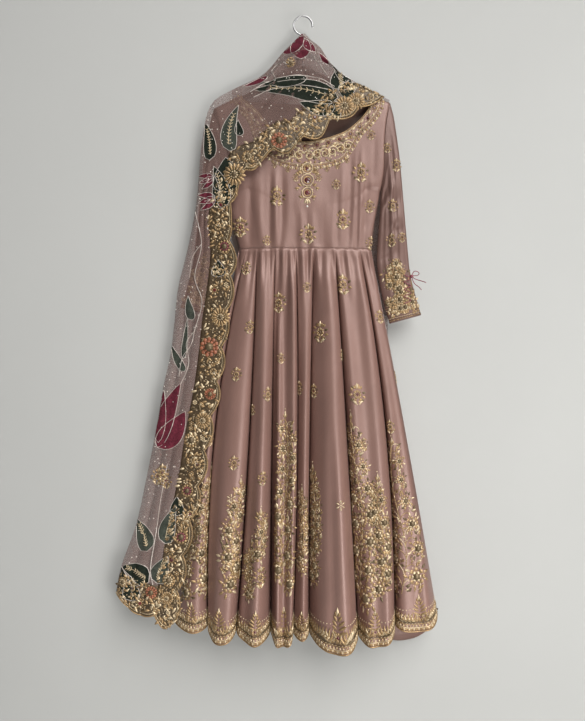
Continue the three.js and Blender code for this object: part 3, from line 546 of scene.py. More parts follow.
# ---------------------------------------------------------------- sleeve surfaces
def sleeve_grid(side, around, rows):
    """A sleeve's tube, with ring 0 on the armhole."""
    angles = np.linspace(0, 2 * pi, around + 1)
    outward = 1 if side == "right" else -1
    down = ARMHOLE_SHARE * (1 - np.cos(angles)) / 2
    drop = WAIST_Z + SEAM - TIP_Z[side]
    armhole = points(
        side_x[side](down) + outward * 3 * SEAM,
        -np.sign(np.round(np.sin(angles), 9)) * side_opening(down),
        TIP_Z[side] + drop * down,
    )
    rings = [armhole]
    for i, row in enumerate(SLEEVE):
        outer = np.array([row["outer_x"], row["middle"], row["outer_z"]], float)
        inner = np.array([row["inner_x"], row["middle"], row["inner_z"]], float)
        half = row["half"]
        if side == "left":
            splay = LEFT_SLEEVE_SPLAY * (i + 1) / len(SLEEVE)
            outer, inner = (
                np.array(
                    [
                        TIP_LEFT + TIP_RIGHT - p[0] - splay,
                        p[1] / 2,
                        TIP_Z["left"] + (p[2] - TIP_Z["right"]) * LEFT_SLEEVE_LENGTH,
                    ]
                )
                for p in (outer, inner)
            )
            half -= 2
        share = ((1 - np.cos(angles)) / 2)[:, None]
        ring = outer[None, :] * (1 - share) + inner[None, :] * share
        ring[:, 1] -= half * np.sin(angles)
        rings.append(ring)
    places = np.linspace(0, len(SLEEVE), rows)
    grid = curve(np.arange(len(rings)), np.array(rings))(places)
    across = (1 - np.cos(angles))[None, :] / 2
    front = np.sin(angles).clip(0, 1)[None, :] ** 0.7
    for crease in SLEEVE_CREASES:
        start, long = crease["start"], crease["end"] - crease["start"]
        middle = lerp(crease["ring"], crease["to_ring"], np.clip((across - start) / long, 0, 1))
        ends = np.sin(pi * np.clip((across - start + 0.1) / (long + 0.2), 0, 1))
        height = crease["high"] * bell((places[:, None] - middle) / crease["half"]) * ends * front
        grid[..., 1] -= height
    down = (places / len(SLEEVE))[:, None]
    for fold in SLEEVE_FOLDS:
        window = between(down, fold["start"], fold["end"], 0.2)
        middle = lerp(fold["top"], fold["bottom"], down)
        grid[..., 1] -= fold["high"] * bell((across - middle) / fold["half"]) * window * front
    return grid


# ---------------------------------------------------------------- dupatta surfaces
dupatta = {name: curve(range(LAST_ROW + 1), column(DUPATTA, name)) for name in DUPATTA[0]}


def outer_line(row):
    return points(dupatta["outer_x"](row), dupatta["outer_y"](row), dupatta["outer_z"](row))


def edge_line(row):
    return points(dupatta["edge_x"](row), dupatta["edge_y"](row), dupatta["edge_z"](row))


EDGE_ROWS = np.linspace(0, LAST_ROW, 441)
EDGE_LENGTHS = lengths_along(edge_line(EDGE_ROWS))
EDGE_TOTAL = EDGE_LENGTHS[-1]
PITCH = EDGE_TOTAL / SCALLOPS


def length_at(row):
    return np.interp(row, EDGE_ROWS, EDGE_LENGTHS)


def row_at(length):
    return np.interp(length, EDGE_LENGTHS, EDGE_ROWS)


def drawn_in(place, depth):
    return depth * (1 - np.abs(np.sin(pi * place)) ** 0.8)


def dupatta_width(row):
    return np.linalg.norm(outer_line(row) - edge_line(row), axis=-1)


def band_share(row):
    return 1 - dupatta["band"](row) / dupatta_width(row)


def dupatta_point(row, across):
    """A point of the dupatta: row along it, and across from its outer edge (0) to its scalloped one (1)."""
    row, across = np.broadcast_arrays(np.asarray(row, float), np.asarray(across, float))
    start, end = outer_line(row), edge_line(row)
    band = band_share(row)
    drawn = drawn_in(length_at(row) / PITCH, SCALLOP_DEPTH) * smooth(across, band, 1)
    p = lerp(start, end, (across - drawn / dupatta_width(row))[..., None])
    p[..., 1] = lerp(start[..., 1], end[..., 1], 1 - (1 - across) ** FORWARD_EASE)
    in_net = np.clip(across / band, 0, 1)
    cowl = smooth(row, 0, 2) * (1 - smooth(row, TURN_ROW - 2, TURN_ROW))
    p[..., 1] -= COWL_SWELL * np.sin(pi * in_net) * cowl
    for fold in COWL_FOLDS:
        middle = lerp(fold["right"], fold["left"], row / TURN_ROW)
        window = between(row, fold["first"], fold["last"], 1.5)
        p[..., 1] -= fold["high"] * bell((in_net - middle) / fold["half"]) * window
    p[..., 1] -= FALL_RIPPLE * np.abs(np.sin(3 * pi * in_net)) * smooth(row, TURN_ROW, TURN_ROW + 3)
    past = END_SCALLOPS + (across - band) / (1 - band)
    place = np.where(across < band, END_SCALLOPS * across / band, past)
    reach = smooth(row, END_BAND_ROW, LAST_ROW)
    p[..., 2] -= reach * (END_SCALLOP_DEPTH - drawn_in(place, END_SCALLOP_DEPTH))
    return p


def dupatta_grid(start, end, across_from, across_to, columns, per_scallop=14):
    """A stretch of the dupatta. Its two sides are given as functions of the row."""
    lengths = length_at(np.array([start, end], float))
    count = max(4, round((lengths[1] - lengths[0]) / PITCH * per_scallop))
    rows = row_at(np.linspace(lengths[0], lengths[1], count + 1))
    part = np.linspace(0, 1, columns + 1)[None, :]
    across = lerp(across_from(rows)[:, None], across_to(rows)[:, None], part)
    return dupatta_point(rows[:, None], across)


def back_layer(line, length, rows, depth, ease):
    """Net that hangs down behind from a line on the hanger."""
    down = (length * np.linspace(0, 1, rows) ** 1.5)[:, None]
    grid = np.repeat(line[None, :, :], rows, 0)
    grid[..., 1] += depth * (1 - np.exp(-down / ease))
    grid[..., 2] -= down
    return grid


# ---------------------------------------------------------------- materials
def node_group(name, *outputs, grain=None):
    """An empty shader group that takes a place, a colour and maybe a grain, with its two end nodes."""
    group = bpy.data.node_groups.new(name, "ShaderNodeTree")
    group.interface.new_socket(name="Place", in_out="INPUT", socket_type="NodeSocketVector")
    group.interface.new_socket(name="Colour", in_out="INPUT", socket_type="NodeSocketColor")
    if grain:
        made = group.interface.new_socket(name="Grain", in_out="INPUT", socket_type="NodeSocketFloat")
        made.default_value = grain
    for label in outputs:
        kind = "NodeSocketColor" if label == "Colour" else "NodeSocketFloat"
        group.interface.new_socket(name=label, in_out="OUTPUT", socket_type=kind)
    start, end = group.nodes.new("NodeGroupInput"), group.nodes.new("NodeGroupOutput")
    return group, start.outputs, end.inputs


def add_node(tree, kind, inputs=(), **settings):
    """A node with its settings, whose inputs are set to values or linked from sockets."""
    made = tree.nodes.new(kind)
    for name, value in settings.items():
        setattr(made, name, value)
    for name, value in dict(inputs).items():
        if isinstance(value, bpy.types.NodeSocket):
            tree.links.new(value, made.inputs[name])
        else:
            made.inputs[name].default_value = value
    return made


def noise(tree, place, scale, detail):
    given = {"Vector": place, "Scale": scale, "Detail": detail}
    return add_node(tree, "ShaderNodeTexNoise", given).outputs[0]


def spread(tree, value, low, high, start=0.0, end=1.0):
    """A value from start to end, spread from low to high."""
    given = {"Value": value, "From Min": start, "From Max": end, "To Min": low, "To Max": high}
    return add_node(tree, "ShaderNodeMapRange", given).outputs[0]


def maths(tree, operation, a, b):
    return add_node(tree, "ShaderNodeMath", {0: a, 1: b}, operation=operation).outputs[0]


def tinted(tree, colour, amount):
    """A colour made lighter or darker."""
    return add_node(tree, "ShaderNodeVectorMath", {0: colour, "Scale": amount}, operation="SCALE").outputs[0]


def make_satin_group():
    """Satin's woven face: soft streaks along the warp, a fine weave, and colour that is a little uneven."""
    tree, given, out = node_group("satin_weave", "Colour", "Height", "Roughness")
    place = given["Place"]
    stretched = add_node(tree, "ShaderNodeMapping", {"Vector": place, "Scale": (1, 0.06, 1)}).outputs[0]
    streak = noise(tree, stretched, 420.0, 4.0)
    cloud = noise(tree, place, 9.0, 3.0)
    wanted = {"Vector": place, "Scale": 400.0, "Distortion": 1.5, "Detail": 1.0}
    weave = add_node(tree, "ShaderNodeTexWave", wanted)
    both = maths(tree, "MULTIPLY", spread(tree, streak, 0.9, 1.1), spread(tree, cloud, 0.9, 1.1))
    tree.links.new(tinted(tree, given["Colour"], both), out["Colour"])
    tree.links.new(maths(tree, "ADD", streak, weave.outputs[0]), out["Height"])
    tree.links.new(spread(tree, cloud, 0.33, 0.42), out["Roughness"])
    return tree


def make_mesh_group():
    """Net: threads, a little uneven in colour, round small open cells. Its cover is given as a mask."""
    tree, given, out = node_group("net_cells", "Colour", "Cover")
    wanted = {"Vector": given["Place"], "Scale": 620.0}
    cells = add_node(tree, "ShaderNodeTexVoronoi", wanted, feature="DISTANCE_TO_EDGE")
    patch = spread(tree, noise(tree, given["Place"], 14.0, 4.0), 0.86, 1.12)
    tree.links.new(tinted(tree, given["Colour"], patch), out["Colour"])
    tree.links.new(spread(tree, cells.outputs["Distance"], 0.82, 0.10, end=0.14), out["Cover"])
    return tree


def make_thread_group():
    """Wound metal thread and beads: a fine painted glint and painted dark gaps in the colour, and a worked
    height.
    """
    tree, given, out = node_group("metal_thread", "Colour", "Height", "Roughness", grain=900.0)
    fine = noise(tree, given["Place"], given["Grain"], 3.0)
    wide = noise(tree, given["Place"], 70.0, 2.0)
    # A fine noise lightens and darkens the thread's colour: painted glint on the windings and painted shade
    # in the gaps between them.
    painted_glint_and_gap, patches = spread(tree, fine, 0.6, 1.25, 0.3, 0.7), spread(tree, wide, 0.75, 1.2, 0.3, 0.7)
    both = maths(tree, "MULTIPLY", painted_glint_and_gap, patches)
    tree.links.new(tinted(tree, given["Colour"], both), out["Colour"])
    tree.links.new(fine, out["Height"])
    tree.links.new(spread(tree, fine, 0.22, 0.5), out["Roughness"])
    return tree


SATIN_WEAVE = make_satin_group()
NET_CELLS = make_mesh_group()
METAL_THREAD = make_thread_group()


def material(name, group, colour, place="UV", grain=None, bump=0.0, bump_depth=0.0005, **constants):
    """A material whose colour, roughness and height come from a group at Object or UV coordinates."""
    made = bpy.data.materials.new(name)
    made.use_nodes = True
    tree = made.node_tree
    shader = tree.nodes["Principled BSDF"]
    for label, value in constants.items():
        shader.inputs[label.replace("_", " ")].default_value = value
    where = add_node(tree, "ShaderNodeTexCoord")
    effect = add_node(tree, "ShaderNodeGroup", node_tree=group)
    tree.links.new(where.outputs[place], effect.inputs["Place"])
    effect.inputs["Colour"].default_value = (*colour, 1)
    if grain:
        effect.inputs["Grain"].default_value = grain
    tree.links.new(effect.outputs["Colour"], shader.inputs["Base Color"])
    if "Roughness" in effect.outputs and "Roughness" not in constants:
        tree.links.new(effect.outputs["Roughness"], shader.inputs["Roughness"])
    if "Cover" in effect.outputs:
        tree.links.new(effect.outputs["Cover"], shader.inputs["Alpha"])
    if bump:
        given = {"Strength": bump, "Distance": bump_depth, "Height": effect.outputs["Height"]}
        bumped = add_node(tree, "ShaderNodeBump", given)
        tree.links.new(bumped.outputs[0], shader.inputs["Normal"])
    return made


def satin(name, colour, shine):
    tint = (1.0, 0.78, 0.73, 1.0)
    kept = {"Specular_IOR_Level": shine, "Specular_Tint": tint}
    return material(name, SATIN_WEAVE, colour, bump=0.12, bump_depth=0.0004, **kept)


def thread(name, colour, bump=0.0, grain=900.0, **constants):
    return material(name, METAL_THREAD, colour, "Object", grain, bump, **constants)


def applied(name, colour, rough, shine):
    """Flat cloth sewn on the net."""
    return thread(name, colour, 0.2, 300.0, Roughness=rough, Specular_IOR_Level=shine)


SATIN = satin("mauve_satin", (0.212, 0.122, 0.101), 0.95)
# The sleeves get a darker copy of the same satin, standing for the shade they hang in: painted shade.
SHADED_SLEEVE_SATIN = satin("sleeve_satin", (0.145, 0.083, 0.069), 0.75)
LINING = material("brown_lining", SATIN_WEAVE, (0.16, 0.095, 0.075), bump=0.1, Specular_IOR_Level=0.3)
NET = material("mauve_net", NET_CELLS, (0.235, 0.145, 0.125), Roughness=0.75)
# The border's ground is made dark so that the gaps between its stitches look shaded: its own colour with
# painted shade.
BORDER_GROUND_SHADED = thread("border_ground", (0.090, 0.060, 0.033), 0.6, 420.0, bump_depth=0.0012, Metallic=0.2)
FINISHES = {
    "gold": thread("gold_thread", (0.37, 0.245, 0.122), 0.35, Metallic=0.5),
    # The pale gold and the old gold are the gold thread's lit and shaded tones, set as thread colours:
    # painted highlight and painted shade on the embroidery.
    "pale": thread("pale_gold_thread", (0.66, 0.525, 0.34), 0.25, Metallic=0.4),
    "dull": thread("old_gold_thread", (0.15, 0.105, 0.056), 0.35, Metallic=0.4),
    "silver": thread("silver_thread", (0.60, 0.54, 0.49), 0.25, Metallic=0.4),
    "pearl": thread("pearl_beads", (0.9, 0.86, 0.78), grain=60.0, Coat_Weight=0.6),
    "ruby": thread("dark_red_stones", (0.10, 0.006, 0.010), grain=60.0, Coat_Weight=1.0),
    "orange": thread("orange_thread", (0.34, 0.12, 0.06), 0.3),
    "green": applied("green_cloth", (0.017, 0.022, 0.016), 0.9, 0.1),
    "leaf_grey": applied("sheer_green_cloth", (0.055, 0.062, 0.050), 0.9, 0.1),
    "maroon": applied("maroon_cloth", (0.125, 0.020, 0.034), 0.85, 0.15),
    "wine": thread("wine_cord", (0.26, 0.06, 0.08), 0.4, 500.0),
}
STEEL = thread("steel_wire", (0.55, 0.55, 0.56), grain=40.0, Metallic=1.0)
HANGER = thread("hanger_plastic", (0.035, 0.03, 0.028), 0.1, 200.0)


# ---------------------------------------------------------------- meshes
def mesh_object(name, vertices, faces, materials, face_finish=None, smooth_faces=True):
    """An object made from vertices in millimetres."""
    mesh = bpy.data.meshes.new(name)
    mesh.from_pydata((np.asarray(vertices) * MM).tolist(), [], [tuple(f) for f in faces])
    for one in materials:
        mesh.materials.append(one)
    if face_finish is not None:
        mesh.polygons.foreach_set("material_index", np.asarray(face_finish, np.int32))
    flags = np.ones(len(mesh.polygons), bool) & np.asarray(smooth_faces, bool)
    mesh.polygons.foreach_set("use_smooth", flags)
    made = bpy.data.objects.new(name, mesh)
    scene.collection.objects.link(made)
    return made


def grid_faces(rows, columns, start=0, facing=-1):
    """Quads of a grid of points that face out, where rows go down and columns to the right."""
    r, c = np.meshgrid(np.arange(rows - 1), np.arange(columns - 1), indexing="ij")
    a = (start + r * columns + c).ravel()
    quads = np.stack([a, a + columns, a + columns + 1, a + 1], 1)
    return quads if facing < 0 else quads[:, ::-1]


def cloth(name, grid, thickness, materials, replaces, facing=-1, ring=False):
    """A sheet of cloth on a grid of points. It thickens away from the side that it faces."""
    rows, columns = grid.shape[:2]
    flat = grid.reshape(-1, 3)
    made = mesh_object(name, flat, grid_faces(rows, columns, 0, facing), materials)
    uv = np.stack([lengths_along(grid, 1), lengths_along(grid, 0)], -1).reshape(-1, 2) * MM
    layer = made.data.uv_layers.new(name="UVMap")
    corners = np.zeros(len(made.data.loops), np.int32)
    made.data.loops.foreach_get("vertex_index", corners)
    layer.data.foreach_set("uv", uv[corners].ravel())
    bpy.context.view_layer.objects.active = made
    made.select_set(True)
    if ring:
        bpy.ops.object.mode_set(mode="EDIT")
        bpy.ops.mesh.select_all(action="SELECT")
        bpy.ops.mesh.remove_doubles(threshold=0.00001)
        bpy.ops.object.mode_set(mode="OBJECT")
    wall = made.modifiers.new("wall", "SOLIDIFY")
    wall.thickness = thickness * MM
    wall.offset = -1
    if len(materials) > 1:
        wall.material_offset = 1
    bpy.ops.object.modifier_apply(modifier="wall")
    made.select_set(False)
    finish_piece(made, replaces)
    return made


def finish_piece(made, replaces=()):
    """Fixes a piece to the one body, and hides the solids that it stands for."""
    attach(made, "root")
    if replaces:
        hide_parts(*replaces)


def surface(*grids):
    """Something that a ray along Y can find the front of several grids with."""
    vertices, faces, start = [], [], 0
    for grid in grids:
        flat = grid.reshape(-1, 3)
        vertices += [Vector(p) for p in flat]
        faces += [tuple(int(i) for i in f) for f in grid_faces(*grid.shape[:2], start)]
        start += len(flat)
    return BVHTree.FromPolygons(vertices, faces)


def tube(name, path, radius, sides, materials):
    """A round cord or wire along points in millimetres, with its two ends closed."""
    path = np.asarray(path, float)
    ahead = np.gradient(path, axis=0)
    ahead /= np.linalg.norm(ahead, axis=1)[:, None]
    normal = np.cross(ahead[0], (0.3, 0.9, 0.1))
    vertices, faces = [], []
    turns = np.linspace(0, 2 * pi, sides, endpoint=False)
    for i, (p, d) in enumerate(zip(path, ahead)):
        normal = normal - d * normal.dot(d)
        normal /= np.linalg.norm(normal)
        other = np.cross(d, normal)
        vertices += [p + radius * (cos(a) * normal + sin(a) * other) for a in turns]
        if i:
            b = (i - 1) * sides
            around = [(j, (j + 1) % sides) for j in range(sides)]
            faces += [(b + j, b + k, b + sides + k, b + sides + j) for j, k in around]
    last = len(vertices) - sides
    faces += [tuple(range(sides))[::-1], tuple(range(last, last + sides))]
    return mesh_object(name, vertices, faces, materials)


# ---------------------------------------------------------------- cloth pieces
SATIN_WALL = 1.0
BORDER_WALL = 1.0
NET_WALL = 0.3
SOLID_NET = 1.2  # the net's and the border's thickness in the solids
SOLID_BORDER = 2.2
STEM_ROOM = 14  # half width in which the net behind goes round the hook's stem
bodice_front_grid = bodice_grid("front", FRONT_NECK, per_segment=5, rows=81)
bodice_back_grid = bodice_grid("back", BACK_NECK, per_segment=3, rows=41)
skirt_front_grid, SKIRT_Q = skirt_grid(
    FRONT_SEAMS, FRONT_KALIS, rows=121, columns=26, facing=-1, top=bodice_front_grid[-1]
)
skirt_back_grid = skirt_grid(
    BACK_SEAMS, BACK_KALIS, rows=61, columns=18, facing=1, top=bodice_back_grid[-1]
)[0]
sleeve_grids = {side: sleeve_grid(side, around=44, rows=90) for side in ("left", "right")}


def satin_cloth(name, grid, materials, nodes, facing=-1):
    return cloth(name, grid, SATIN_WALL, materials, nodes, facing)


front_kalis = [f"skirt_front_{k}" for k in range(1, 9)]
back_kalis = [f"skirt_back_{k}" for k in range(1, 7)]
skirt_front = satin_cloth("skirt_front", skirt_front_grid, [SATIN], front_kalis)
skirt_back = satin_cloth("skirt_back", skirt_back_grid, [SATIN], back_kalis, facing=1)
front_bodice = satin_cloth("front_bodice", bodice_front_grid, [SATIN, LINING], ["bodice_front"])
back_bodice = satin_cloth("back_bodice", bodice_back_grid, [SATIN, LINING], ["bodice_back"], facing=1)


def sleeve_cloth(side, facing):
    grid, node = sleeve_grids[side], f"sleeve_{side}"
    return cloth(f"{side}_sleeve", grid, SATIN_WALL, [SHADED_SLEEVE_SATIN], [node], facing, ring=True)


right_sleeve = sleeve_cloth("right", 1)
left_sleeve = sleeve_cloth("left", -1)

cowl_grid = dupatta_grid(0, TURN_ROW, np.zeros_like, band_share, columns=30)
chest_grid = dupatta_grid(0, TURN_ROW, band_share, np.ones_like, columns=12)
fall_grid = dupatta_grid(TURN_ROW, END_BAND_ROW, np.zeros_like, band_share, columns=42)
fall_border_grid = dupatta_grid(TURN_ROW, LAST_ROW, band_share, np.ones_like, columns=12)
end_grid = dupatta_grid(END_BAND_ROW, LAST_ROW, np.zeros_like, band_share, columns=60, per_scallop=30)

peak_rows = np.linspace(0.1, TURN_ROW - 1, 60)
peak_line = outer_line(peak_rows)
peak_line[:, 1] += SOLID_NET + 2 * SEAM
near_stem = np.abs(peak_line[:, 0]) < STEM_ROOM
peak_line[near_stem, 1] = np.maximum(peak_line[near_stem, 1], HOOK_WIRE / 2 + SOLID_NET)
shoulder_share = np.linspace(0.02, 1, 24)[:, None]
shoulder_line = lerp(outer_line(np.array([0.0])), edge_line(np.array([0.0])), shoulder_share)
shoulder_line[:, 1] += SOLID_BORDER + 2 * SEAM

cowl_back_grid = back_layer(peak_line, length=130, rows=16, depth=17, ease=25)
behind_grid = back_layer(shoulder_line, length=860, rows=40, depth=29, ease=40)


def net_cloth(name, grid, node):
    return cloth(name, grid, NET_WALL, [NET], [node])


def border_cloth(name, grid, node):
    return cloth(name, grid, BORDER_WALL, [BORDER_GROUND_SHADED], [node])


cowl = net_cloth("net_over_hanger", cowl_grid, "dupatta_cowl")
chest_border = border_cloth("border_over_chest", chest_grid, "dupatta_chest_border")
fall = net_cloth("net_fall", fall_grid, "dupatta_fall")
fall_border = border_cloth("border_of_fall", fall_border_grid, "dupatta_fall_border")
end_border = border_cloth("border_at_end", end_grid, "dupatta_end_border")
cowl_back = net_cloth("net_behind_hanger", cowl_back_grid, "dupatta_cowl_back")
behind = net_cloth("net_behind_shoulder", behind_grid, "dupatta_behind")

KAMEEZ = surface(skirt_front_grid, bodice_front_grid, *sleeve_grids.values())
DUPATTA_FRONT = surface(cowl_grid, chest_grid, fall_grid, fall_border_grid, end_grid)


# ---------------------------------------------------------------- needlework
def half_sphere(segments, rings):
    """The upper half of a small ball, to be shaped further, as vertices and faces."""
    bpy.ops.mesh.primitive_uv_sphere_add(segments=segments, ring_count=rings, radius=1)
    ball = bpy.context.object
    bm = bmesh.new()
    bm.from_mesh(ball.data)
    bmesh.ops.delete(bm, geom=[v for v in bm.verts if v.co.z < -0.01], context="VERTS")
    bm.verts.ensure_lookup_table()
    vertices = np.array([v.co[:] for v in bm.verts])
    faces = [[v.index for v in f.verts] for f in bm.faces]
    bm.free()
    bpy.data.objects.remove(ball)
    return vertices, faces


def shaped(vertices, faces, widths):
    """A half ball drawn out from 0 to 1 along x, with a width at each place along it."""
    made = vertices.copy()
    x = (vertices[:, 0] + 1) / 2
    made[:, 0] = x
    made[:, 1] = vertices[:, 1] / 2 * np.interp(x, np.linspace(0, 1, len(widths)), widths)
    return made, faces


def gem_shape():
    bpy.ops.mesh.primitive_cone_add(vertices=8, radius1=1, radius2=0.55, depth=0.8, location=(0, 0, 0.4))
    cone = bpy.context.object
    bpy.ops.object.transform_apply(location=True, rotation=True, scale=True)
    vertices = np.array([v.co[:] for v in cone.data.vertices])
    faces = [list(p.vertices) for p in cone.data.polygons if p.normal.z > -0.5]
    bpy.data.objects.remove(cone)
    return vertices, faces


def ring_shape():
    bpy.ops.mesh.primitive_torus_add(
        major_segments=14, minor_segments=5, major_radius=0.82, minor_radius=0.2
    )
    ring = bpy.context.object
    vertices = np.array([v.co[:] for v in ring.data.vertices])
    faces = [list(p.vertices) for p in ring.data.polygons]
    bpy.data.objects.remove(ring)
    vertices[:, 2] *= 2.5
    return vertices, faces


BALL = half_sphere(8, 4)
SHAPES = {
    "bead": half_sphere(6, 4),
    "petal": shaped(*BALL, (0.35, 0.75, 1.0, 1.15, 1.1)),
    "leaf": shaped(*BALL, (0.5, 1.15, 1.1, 0.7, 0.2)),
    "gem": gem_shape(),
    "ring": ring_shape(),
}


class Needlework:
    """Small raised stitches, beads and stones, gathered as places on a cloth and made into one mesh."""

    def __init__(self, cloth_front):
        self.front = cloth_front
        self.stitches = {}
        self.cords = []

    def touch(self, x, z):
        """The cloth's front at a place, and the way it faces there."""
        hit, normal, _, _ = self.front.ray_cast(Vector((x, -1000, z)), Vector((0, 1, 0)))
        if hit is None:
            return None
        if normal.y > 0:
            normal = -normal
        return np.array(hit), np.array(normal)

    def stitch(self, shape, finish, x, z, angle, long, wide, high):
        found = self.touch(x, z)
        if found is None:
            return
        p, n = found
        side = np.cross((0, 0, 1), n)
        side /= max(1e-6, np.linalg.norm(side))
        up = np.cross(n, side)
        a = radians(angle)
        ahead = cos(a) * side + sin(a) * up
        across = -sin(a) * side + cos(a) * up
        self.stitches.setdefault((shape, finish), []).append(
            np.array([p, ahead * long, across * wide, n * high])
        )

    def cord(self, finish, path, wide, high):
        """A raised cord along places on the cloth. It breaks where there is no cloth."""
        run = []
        for x, z in path:
            found = self.touch(x, z)
            if found is None:
                self._close(finish, run, wide, high)
                run = []
            else:
                run.append(found)
        self._close(finish, run, wide, high)

    def _close(self, finish, run, wide, high):
        if len(run) > 1:
            path, normals = (np.array(each) for each in zip(*run))
            self.cords.append((finish, path, normals, wide, high))

    def make(self, name, slot, turn=False):
        """One mesh of all the stitches, turned half round the upright axis if they are for the back."""
        vertices, faces, finishes, flags, names, start = [], [], [], [], [], 0
        for (shape, finish), frames in self.stitches.items():
            if finish not in names:
                names.append(finish)
            local, shape_faces = SHAPES[shape]
            frames = np.array(frames)
            placed = frames[:, None, 0] + np.einsum("vk,nkd->nvd", local, frames[:, 1:])
            vertices.append(placed.reshape(-1, 3))
            for n in range(len(frames)):
                faces += [[start + n * len(local) + i for i in f] for f in shape_faces]
            finishes += [names.index(finish)] * (len(frames) * len(shape_faces))
            flags += [shape != "gem"] * (len(frames) * len(shape_faces))
            start += placed.shape[0] * placed.shape[1]
        for finish, path, normals, wide, high in self.cords:
            if finish not in names:
                names.append(finish)
            ahead = np.gradient(path, axis=0)
            across = np.cross(normals, ahead)
            across /= np.maximum(1e-6, np.linalg.norm(across, axis=1))[:, None]
            turns = np.linspace(0, pi, 5)
            rings = [path + across * (wide / 2 * cos(a)) + normals * (high * sin(a)) for a in turns]
            vertices.append(np.stack(rings, 1).reshape(-1, 3))
            quads = grid_faces(len(path), 5, start, 1)
            faces += quads.tolist()
            finishes += [names.index(finish)] * len(quads)
            flags += [True] * len(quads)
            start += len(path) * 5
        places = np.concatenate(vertices) * ((-1, -1, 1) if turn else 1)
        made = mesh_object(name, places, faces, [FINISHES[n] for n in names], finishes, flags)
        finish_piece(made)


# A design is a list of stitches and cords drawn flat about (0, 0), u to the right and v up, in millimetres.
def dot(u, v, size=1.5, finish="pale", high=None):
    return ("bead", finish, u, v, 0, size, size, high or size * 0.9)


def blade(shape, finish, u, v, angle, long, wide, high=1.6):
    return (shape, finish, u, v, angle, long, wide, high)


def bead_ring(count, radius, start, size, finish="pale", high=None, lift=0.0):
    """Beads spaced evenly on a circle, from a starting angle."""
    turns = [radians(start + 360 / count * i) for i in range(count)]
    return [dot(radius * cos(a), radius * sin(a) + lift, size, finish, high) for a in turns]


def any_of(rng, *finishes):
    return str(rng.choice(list(finishes)))


def flower(petals, radius, heart, finish="gold", centre="pale", turn=90, wide=None, high=1.8):
    """Raised petals round a heart of the given radius."""
    wide = wide or 2 * pi * (heart + radius) / 2 / petals * 0.95
    made = []
    for i in range(petals):
        angle = turn + 360 * i / petals
        a = radians(angle)
        made.append(
            blade("petal", finish, heart * cos(a), heart * sin(a), angle, radius - heart, wide, high)
        )
    made.append(dot(0, 0, heart * 0.95, centre, heart * 0.8))
    return made


def ring_flower(radius):
    """A stone in a raised ring, with a round of beads outside it."""
    made = [
        ("ring", "gold", 0, 0, 0, radius * 0.62, radius * 0.62, 1.4),
        ("gem", "ruby", 0, 0, 0, radius * 0.42, radius * 0.42, 1.8),
    ]
    for i in range(11):
        a = 2 * pi * i / 11
        made.append(
            dot(radius * 0.9 * cos(a), radius * 0.9 * sin(a), radius * 0.16, "pale" if i % 2 else "gold")
        )
    return made


def moved(design, u=0.0, v=0.0, size=1.0, turn=0.0):
    """A design placed elsewhere, scaled or turned."""
    c, s = cos(radians(turn)), sin(radians(turn))
    made = []
    for item in design:
        if item[0] == "cord":
            _, finish, path, wide, high = item
            path = [(u + size * (a * c - b * s), v + size * (a * s + b * c)) for a, b in path]
            made.append(("cord", finish, path, wide * size**0.5, high * size**0.5))
            continue
        shape, finish, a, b, angle, long, wide, high = item
        place = (u + size * (a * c - b * s), v + size * (a * s + b * c))
        made.append((shape, finish, *place, angle + turn, long * size, wide * size, high * size**0.5))
    return made


def sew(work, design, place):
    """Puts a design on a cloth. place turns (u, v) into (x, z), or None where there is no cloth."""
    for item in design:
        if item[0] == "cord":
            _, finish, path, wide, high = item
            spots = [place(a, b) for a, b in path]
            work.cord(finish, [p if p is not None else (9999, 9999) for p in spots], wide, high)
            continue
        shape, finish, a, b, angle, long, wide, high = item
        spot = place(a, b)
        if spot is not None:
            work.stitch(shape, finish, *spot, angle, long, wide, high)


def flat_place(x, z):
    return lambda u, v: (x + u, z + v)


# Places on the skirt's front: round it by the cloth's own length, and up it from a place.
SKIRT_ROWS = skirt_front_grid.shape[0]
SKIRT_ARC = lengths_along(skirt_front_grid[..., :2], 1)
SKIRT_LONG = 900.0  # taken as the length of cloth from waist to hem wherever a stitch is placed up it


def skirt_spot(q, s, u=0.0, v=0.0):
    """The place u along the cloth and v up it from the place q across the kalis and s down the skirt."""
    s = s - v / SKIRT_LONG
    if not 0 <= s <= 1:
        return None
    row = min(int(s * (SKIRT_ROWS - 1)), SKIRT_ROWS - 2)
    part = s * (SKIRT_ROWS - 1) - row
    arc = lerp(SKIRT_ARC[row], SKIRT_ARC[row + 1], part)
    line = lerp(skirt_front_grid[row], skirt_front_grid[row + 1], part)
    at = np.interp(q, SKIRT_Q, arc) + u
    if not 0 <= at <= arc[-1]:
        return None
    return float(np.interp(at, arc, line[:, 0])), float(np.interp(at, arc, line[:, 2]))


def skirt_anchor(x, z):
    """The place on the skirt, as q across and s down, that is seen at x and z."""
    hem = skirt_front_grid[-1, :, 2]
    s = np.clip((z - WAIST_Z) / (hem - WAIST_Z), 0, 1)
    rows = s * (SKIRT_ROWS - 1)
    low = np.minimum(rows.astype(int), SKIRT_ROWS - 2)
    columns = np.arange(len(SKIRT_Q))
    xs = lerp(skirt_front_grid[low, columns, 0], skirt_front_grid[low + 1, columns, 0], rows - low)
    q = float(np.interp(x, xs, SKIRT_Q))
    return q, float(np.interp(q, SKIRT_Q, s))


def skirt_place(x, z):
    q, s = skirt_anchor(x, z)
    return lambda u, v: skirt_spot(q, s, u, v)


